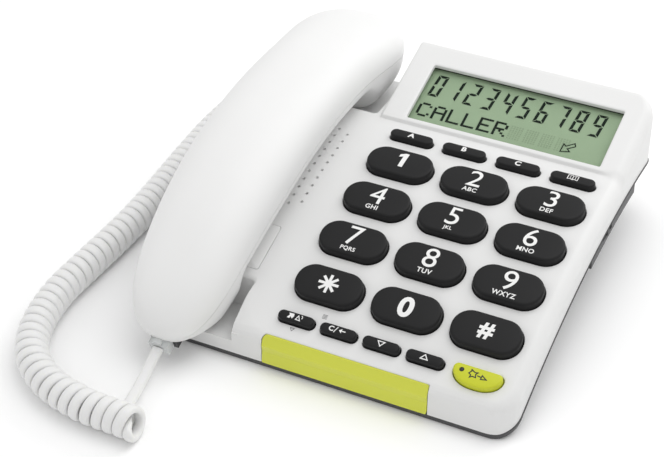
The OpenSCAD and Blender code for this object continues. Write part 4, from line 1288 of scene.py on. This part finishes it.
@dataclass(frozen=True)
class BoostKey:
    """The half-moon volume key with its lamp."""

    x: float = 57.1
    s: float = -46.6
    width: float = 18.4
    length: float = 7.6
    height: float = 2.6
    lamp: tuple[float, float] = (-5.8, -2.6)

    def frame(self) -> Matrix:
        """Its frame on the face."""
        return LAYOUT.face_frame(self.x, self.s)

    def build(self) -> None:
        """Makes the key, its lamp and its printed sign."""
        center = (0.0, -self.length / 2)
        levels = [(0.6, -3.7), (0.6, -2.7), (0.0, -2.7), (0.0, self.height - 1.0)]
        for k in range(1, 6):
            a = math.pi / 2 * k / 5
            levels.append((-1.0 * (1 - math.cos(a)), self.height - 1.0 + 0.85 * math.sin(a)))
        levels += [(-1.6, self.height - 0.1), (-2.6, self.height)]
        key = raised(half_moon(self.width, self.length), levels, None, center)
        lamp = [(x + self.lamp[0], y + self.lamp[1]) for x, y in rounded_rectangle(1.84, 1.84, 0.915, 8)]
        hole = loft([[(x, y, z) for x, y in lamp] for z in (-6.0, 6.0)])
        key = combine(key, hole)
        MAKER.piece(key, "boost_cap", LIME, "boost_key_body", ("boost_key",),
                    transform=self.frame())
        dot = [(x + self.lamp[0], y + self.lamp[1]) for x, y in rounded_rectangle(1.8, 1.8, 0.895, 8)]
        high = self.height
        steps = ((0, -2.4), (0, high - 0.25), (-0.15, high - 0.05), (-0.5, high + 0.05))
        lamp_mesh = raised(dot, steps, None, self.lamp)
        MAKER.piece(lamp_mesh, "boost_light", BLACK, "boost_key_body", ("boost_lamp",),
                    transform=self.frame())
        speaker = [(-2.9, -3.2), (-2.2, -2.2), (-2.3, -1.6), (-0.8, -2.4), (0.2, -2.2), (-0.4, -3.1),
                   (0.0, -4.2), (-1.3, -4.1), (-2.1, -4.7), (-2.0, -3.7)]
        sign = [stroke(speaker, 0.38, True), stroke([(0.3, -3.3), (1.9, -3.5)], 0.38),
                stroke([(2.0, -2.7), (3.9, -3.9), (1.9, -4.3)], 0.38, True)]
        icon = gather(sign)
        for vert in icon.verts:
            vert.co.z += self.height + 0.01
        MAKER.piece(icon, "boost_sign", PRINT_BLACK, "boost_key_body",
                    transform=self.frame())


@dataclass
class Keypad:
    """All twenty keys, their legends and the half-moon key."""

    pitch: tuple[float, float] = (31.0, 21.7)
    number: Point = (26.6, 14.8, 7.0)
    memory: Point = (17.8, 4.8, 2.3)
    function: Point = (14.2, 4.0, 1.9)
    boost: BoostKey = field(default_factory=BoostKey)

    def keys(self) -> list[Key]:
        """The keys, row by row."""
        rows = (("1", "2", "3"), ("4", "5", "6"), ("7", "8", "9"), ("star", "0", "hash"))
        letters = dict(zip("23456789", ("ABC", "DEF", "GHI", "JKL", "MNO", "PQRS", "TUV", "WXYZ")))
        signs = {"star": "*", "hash": "#"}
        keys = []
        for i, row in enumerate(rows):
            for j, name in enumerate(row):
                x, s = LAYOUT.field[0] + (j - 1) * self.pitch[0], (1.5 - i) * self.pitch[1]
                keys.append(Key("key_" + name, x, s, self.number, 3.4, signs.get(name, name),
                                letters.get(name, "")))
        for i, name in enumerate(("a", "b", "c", "book")):
            keys.append(Key("key_" + name, LAYOUT.field[0] + (i - 1.5) * 22.4, 49.8, self.memory, 2.6,
                            name.upper() if len(name) == 1 else name))
        for i, name in enumerate(("recall", "clear", "down", "up")):
            keys.append(Key("key_" + name, 11.5 + (i - 1.5) * 17.0, -49.0, self.function, 2.6, name))
        return keys

    def legend(self, key: Key) -> list[bmesh.types.BMesh]:
        """Flat meshes of a key's printing."""
        if key.legend == "book":
            return self.book()
        if key.legend in ("down", "up"):
            flip = -1 if key.legend == "down" else 1
            triangle = [(-1.35, -0.85 * flip), (1.35, -0.85 * flip), (0.0, 1.05 * flip)]
            return [stroke(triangle if flip > 0 else triangle[::-1], 0.36, True)]
        if key.legend == "clear":
            word = lettering("C", 2.1, 0.03)
            word.transform(Matrix.Translation((-2.6, -0.95, 0)))
            return [word, stroke([(-1.3, -1.2), (-0.3, 1.3)], 0.32), stroke([(3.0, 0.1), (1.6, 0.1)], 0.4),
                    plate([(0.4, 0.1), (1.5, -0.8), (1.5, 1.0)])]
        if key.legend == "recall":
            return self.recall()
        if key.letters or key.legend == "1":
            one = [(0.1, 0.0), (1.9, 0.0), (1.9, 8.0), (0.5, 8.0), (-1.5, 6.9), (-1.5, 5.3), (0.1, 6.0)]
            digit = plate(one) if key.legend == "1" else lettering(key.legend, 8.9, 0.0)
            digit.transform(Matrix.Translation((0.1, -3.0, 0)))
            if not key.letters:
                return [digit]
            word = lettering(key.letters, 2.1, 0.02, 1.08)
            word.transform(Matrix.Translation((0.0, -6.0, 0)))
            return [digit, word]
        if key.legend == "*":
            arms = []
            for k in range(4):
                a = math.pi / 4 * k
                c, s = 4.0 * math.cos(a), 4.0 * math.sin(a)
                arms.append(stroke([(-c, -s), (c, s)], 1.1, thickness=0.05 + 0.001 * k))
            return arms
        tall = 8.8 if key.legend == "0" else (6.8 if key.legend == "#" else 3.0)
        if key.size[1] < 8:
            tall = 2.7
        glyph = lettering(key.legend, tall, 0.035)
        glyph.transform(Matrix.Translation((0, -tall / 2, 0)))
        return [glyph]

    def book(self) -> list[bmesh.types.BMesh]:
        """An open book."""
        left = [(0.0, -1.2), (0.0, 1.1), (-0.8, 1.45), (-2.0, 1.3), (-2.0, -1.1), (-0.9, -0.9)]
        right = [(-x, y) for x, y in reversed(left)]
        lines = [stroke(left, 0.3, True), stroke(right, 0.3, True)]
        for side in (-1, 1):
            lines.append(stroke([(side * 1.0, -0.6), (side * 1.0, 1.0)], 0.22))
        return lines

    def recall(self) -> list[bmesh.types.BMesh]:
        """A bold arrow and a bell."""
        arrow = plate([(-3.2, -0.9), (-2.2, -1.0), (-2.0, -0.2), (-1.2, -0.9), (-0.7, 0.2), (-1.0, 1.2),
                       (-3.0, 1.1), (-2.5, 0.4)])
        bell = stroke([(0.2, -0.8), (1.9, -0.9), (0.9, 0.9)], 0.32, True)
        arc = [(1.9 + 0.7 * math.cos(a), 0.5 + 0.7 * math.sin(a)) for a in (-0.9, -0.3, 0.3, 0.9, 1.5)]
        return [arrow, bell, stroke(arc, 0.26)]

    def marks(self) -> list[bmesh.types.BMesh]:
        """The small marks printed on the housing beside the first function key."""
        down = stroke([(-0.8, 0.55), (0.0, -0.6), (0.8, 0.55)], 0.24, True)
        down.transform(LAYOUT.face_frame(-14.3, -52.9, 0.02))
        bars = []
        for i in range(4):
            bar = stroke([(-0.9, -0.75 + 0.5 * i), (0.9, -0.75 + 0.5 * i)], 0.2)
            bar.transform(LAYOUT.face_frame(-4.8, -44.2, 0.02))
            bars.append(bar)
        return [down, *bars]

    def build(self) -> None:
        """Makes every key with its legend, and the marks on the housing."""
        for key in self.keys():
            place = LAYOUT.face_frame(key.x, key.s)
            body = key.node + "_body"
            MAKER.piece(key.cap(), key.node + "_cap", KEY, body, (key.node,),
                        transform=place, angle=40)
            MAKER.piece(key.printed(self.legend(key)), key.node + "_print", PRINT, body,
                        transform=place)
        MAKER.piece(gather(self.marks()), "printed_marks", PRINT_GREY, "base")
        self.boost.build()


KEYPAD = Keypad()


# ---------- ringer bar ----------
@dataclass
class RingerBar:
    """The translucent light bar in the front edge."""

    left: float = -23.9
    right: float = 41.9
    reach: float = 1.6
    gap: float = 0.28
    corner: float = 2.6

    def profile(self, grow: float = 0.0) -> Outline:
        """Side view of the bar: three outer facets and a back."""
        front = -LAYOUT.depth / 2
        top = LAYOUT.arc_height(front + self.reach)
        foot = LAYOUT.front_seam + self.gap - grow
        back = front + LAYOUT.wall + 0.4
        return [
            (front + self.reach + grow, top - 4), (front + self.reach + grow, top + grow),
            (front + 1.25, top - 0.3 + grow), (front - 0.5 - grow, top - 4.7),
            (front + 0.1 - grow, top - 7.6), (front - 0.5 - grow, foot), (back, foot), (back, top - 4),
        ]

    def window(self, grow: float = 0.0) -> bmesh.types.BMesh:
        """Block whose front view is the bar's outline, with its round top corner at the left."""
        radius = self.corner + grow
        left, right = self.left - grow, self.right + grow
        top = LAYOUT.arc_height(-LAYOUT.depth / 2 + self.reach) + grow
        outline = [(left, -4.0), (right, -4.0), (right, top + 9.0), (left + 14, top + 9.0)]
        outline.append((left + radius, top))
        outline += [(left + radius * (1 - math.sin(a)), top - radius * (1 - math.cos(a)))
                    for a in (math.pi / 2 * k / 8 for k in range(1, 9))]
        front = -LAYOUT.depth / 2
        return loft([[(x, y, z) for x, z in outline] for y in (front + 12, front - 8)])

    def cutter(self) -> bmesh.types.BMesh:
        """Cutter for its slot in the housing."""
        profile = [(y - (3 if y < -78.5 else 0), z - (3 if z < 4 else 0)) for y, z in self.profile(self.gap)]
        profile[1] = (profile[1][0], profile[1][1] + 6)
        profile[2] = (profile[2][0] - 3, profile[2][1] + 6)
        slot = prism(profile, self.left - self.gap, self.right + self.gap)
        return combine(slot, self.window(self.gap), Blend.COMMON)

    def build(self) -> None:
        """Makes the bar."""
        bar = combine(prism(self.profile(), self.left, self.right, 0.5), self.window(), Blend.COMMON)
        MAKER.piece(bar, "light_bar", LIME_CLEAR, "base", ("ringer_bar",), angle=9)


# ---------- display ----------
@dataclass
class Display:
    """The green display with its segments, behind its window."""

    digits: str = "0123456789"
    word: str = "CALLER"
    lift: float = -3.28
    recess: float = 1.6
    glass: float = 1.4

    def cell(self, u: float, v: float, width: float, height: float) -> bmesh.types.BMesh:
        """One lit cell of the display."""
        return plate([(u, v), (u + width, v), (u + width, v + height), (u, v + height)], 0.03)

    def seven(self, digit: str, u: float, v: float, width: float = 4.5, height: float = 11.8) -> list:
        """Segments of one slanted digit.

        Args:
            digit: The digit.
            u: Its left side.
            v: Its foot.
            width: Its width.
            height: Its height.

        Returns:
            Its lit segments.
        """
        shown = ("abcdef", "bc", "abged", "abgcd", "fgbc", "afgcd", "afgedc", "abc", "abcdefg", "abcfgd")
        lit = shown[int(digit)]
        t, g, slope = 1.25, 0.2, 0.085
        mid, top = height / 2, height
        bars = {
            "a": [(g, top), (width - g, top), (width - g - t, top - t), (g + t, top - t)],
            "d": [(g + t, t), (width - g - t, t), (width - g, 0), (g, 0)],
            "g": [(g + t * 0.2, mid), (g + t, mid + t / 2), (width - g - t, mid + t / 2),
                  (width - g - t * 0.2, mid), (width - g - t, mid - t / 2), (g + t, mid - t / 2)],
            "f": [(0, top - g), (t, top - g - t), (t, mid + g + t / 2), (0, mid + g)],
            "b": [(width, top - g), (width, mid + g), (width - t, mid + g + t / 2), (width - t, top - g - t)],
            "e": [(0, mid - g), (t, mid - g - t / 2), (t, g + t), (0, g)],
            "c": [(width, mid - g), (width, g), (width - t, g + t), (width - t, mid - g - t / 2)],
        }
        return [plate([(u + x + slope * y, v + y) for x, y in reversed(bars[name])], 0.03) for name in lit]

    def matrix_letter(
        self, rows: Sequence[int], u: float, v: float, cell: tuple[float, float] = (1.1, 1.01)
    ) -> list[bmesh.types.BMesh]:
        """Cells of one letter of the dot matrix."""
        pitch = 1.03
        cells = []
        for r, row in enumerate(rows):
            for c in range(5):
                if row >> (4 - c) & 1:
                    cells.append(self.cell(u + c * 1.12, v + (6 - r) * pitch, *cell))
        return cells

    def build(self) -> None:
        """Makes the window, the panel and everything shown on it."""
        width, length = LAYOUT.window
        shapes = {
            "C": (14, 17, 16, 16, 16, 17, 14),
            "A": (14, 17, 17, 31, 17, 17, 17),
            "L": (16, 16, 16, 16, 16, 16, 31),
            "E": (31, 16, 16, 30, 16, 16, 31),
            "R": (30, 17, 17, 30, 20, 18, 17),
        }
        place = LAYOUT.display_frame()
        ink: list[bmesh.types.BMesh] = []
        for i, digit in enumerate(self.digits):
            ink += self.seven(digit, -38.9 + 7.6 * i, 16.0)
        for i, letter in enumerate(self.word):
            ink += self.matrix_letter(shapes[letter], -39.6 + 6.6 * i, 4.7)
        ghost = []
        for i in range(6, 10):
            ghost += self.matrix_letter((31,) * 7, -39.6 + 6.6 * i, 4.7, (0.7, 0.62))
        arrow = [(22.6, 4.9), (22.8, 9.0), (23.9, 8.1), (26.9, 10.4), (27.6, 9.0), (24.9, 7.0), (26.2, 5.8)]
        ink.append(stroke(arrow, 0.5, True, 0.03))
        MAKER.piece(gather(ink), "lcd_segments", LCD_INK, "base",
                    transform=place @ Matrix.Translation((0, 0, self.lift)))
        MAKER.piece(gather(ghost), "lcd_unlit", LCD_GHOST, "base",
                    transform=place @ Matrix.Translation((0, 0, self.lift - 0.005)))
        pane = rounded_rectangle(width + 3.2, length + 3.2, 0.6, 5)
        middle = place @ Matrix.Translation((0, length / 2, 0))
        top = -self.recess
        foot = top - self.glass
        glass = raised(pane, ((-0.15, foot), (0, foot + 0.15), (0, top - 0.15), (-0.15, top)), middle)
        MAKER.piece(glass, "window_pane", WINDOW, "base", ("display_window",))
        panel = rounded_rectangle(width + 2, length + 2, 0.5, 5)
        low = top - self.glass - 0.3
        body = raised(panel, ((-0.2, low - 2.8), (0, low - 2.6), (0, low - 0.1), (-0.1, low)), middle)
        MAKER.piece(body, "lcd_glass", LCD, "base", ("lcd_panel",))


@dataclass
class CaseLip:
    """The dark edge of the lower case, flush under the white wall."""

    inset: float = 0.06
    breadth: float = 2.6
    side_reach: float = 0.5
    low: float = 0.15
    gap: float = 0.12

    def build(self) -> None:
        """Makes the lip as a ring that follows the seam."""
        housing = UpperHousing()
        rings = []
        for inset, high in ((self.inset, True), (self.inset + self.breadth, True),
                            (self.inset + self.breadth, False), (self.inset + 0.3, False)):
            outline = self.dense(rounded_rectangle(LAYOUT.width + 2 * self.side_reach - 2 * inset,
                                                   LAYOUT.depth - 2 * inset, LAYOUT.corner - inset, 12))
            rings.append([(x, y, self.level(housing.seam(y), y, high)) for x, y in outline])
        rings.append(rings[0])
        lip = loft(rings, caps=False)
        bmesh.ops.remove_doubles(lip, verts=lip.verts, dist=1e-5)
        MAKER.piece(lip, "case_lip", CASE, "base", angle=40)

    def level(self, seam: float, y: float, high: bool) -> float:
        """Height of the lip's top or foot where the seam has the given height."""
        top = seam - self.gap
        return top if high else max(self.low, top - 1.0 - 1.0 * (1 - ramp(y, -78, -40)))

    def dense(self, outline: Outline) -> Outline:
        """The outline with extra points on its straight sides."""
        points: Outline = []
        for a, b in zip(outline, outline[1:] + outline[:1]):
            count = max(1, round(math.dist(a, b) / 4))
            for k in range(count):
                points.append((a[0] + (b[0] - a[0]) * k / count, a[1] + (b[1] - a[1]) * k / count))
        return points


@dataclass
class IndexCover:
    """The flush cover over the paper index, beside the number keys."""

    x: float = -52.6
    s: float = -23.0

    def build(self) -> None:
        """Makes the cover with softened edges."""
        outline = rounded_rectangle(30.0, 21.0, 0.8, 4)
        cover = raised(outline, ((0, -1.2), (0, -0.25), (-0.07, -0.08), (-0.25, 0.0)),
                       LAYOUT.face_frame(self.x, self.s))
        MAKER.piece(cover, "index_plate", HOUSING, "base", ("index_cover",))


# ---------- CAD nodes that stay ----------
@dataclass(frozen=True)
class CadFinishes:
    """Finishes of the CAD nodes whose own shape is shown."""

    table: tuple[tuple[str, Finish], ...] = (
        ("lower_housing", CASE), ("upper_housing", HOUSING), ("display_window", WINDOW), ("lcd_panel", LCD),
        ("lcd_holder", BLACK), ("key_mat", SILICONE), ("main_board", BOARD), ("boost_key", LIME),
        ("boost_lamp", BLACK), ("ringer_bar", LIME_CLEAR), ("ringer_leds", BOARD), ("loudspeaker", SPEAKER),
        ("hook_plunger", HOUSING), ("hook_switch", BLACK), ("index_cover", HOUSING), ("ringer_slide", BLACK),
        ("line_jack", BLACK), ("base_cord_jack", BLACK), ("battery_door", CASE), ("batteries", CELL),
        ("battery_contacts", STEEL), ("rubber_feet", RUBBER), ("base_screws", STEEL), ("earpiece", BLACK),
        ("microphone", SPEAKER), ("handset_weight", STEEL), ("handset_jack", BLACK),
        ("handset_screws", STEEL), ("handset_plug", PLUG), ("base_plug", PLUG),
    )

    def apply(self) -> None:
        """Assigns a finish to every CAD node."""
        finishes = dict(self.table)
        for name, node in frame["nodes"].items():
            finish = finishes.get(name, KEY if name.startswith("key_") else HOUSING)
            node.data.materials.clear()
            node.data.materials.append(finish.build())
            log.info("CAD node %s wears %s", name, finish.name)


def main() -> None:
    """Builds the phone's looks in order and reports each piece."""
    logging.basicConfig(level=logging.INFO, format="%(message)s")
    Studio().build()
    CurlyCord().build()
    CadFinishes().apply()
    Handset().build()
    UpperHousing().build()
    KEYPAD.build()
    RingerBar().build()
    Display().build()
    IndexCover().build()
    CaseLip().build()
    log.info("%d pieces made", MAKER.count)


if __name__ == "__main__":
    main()
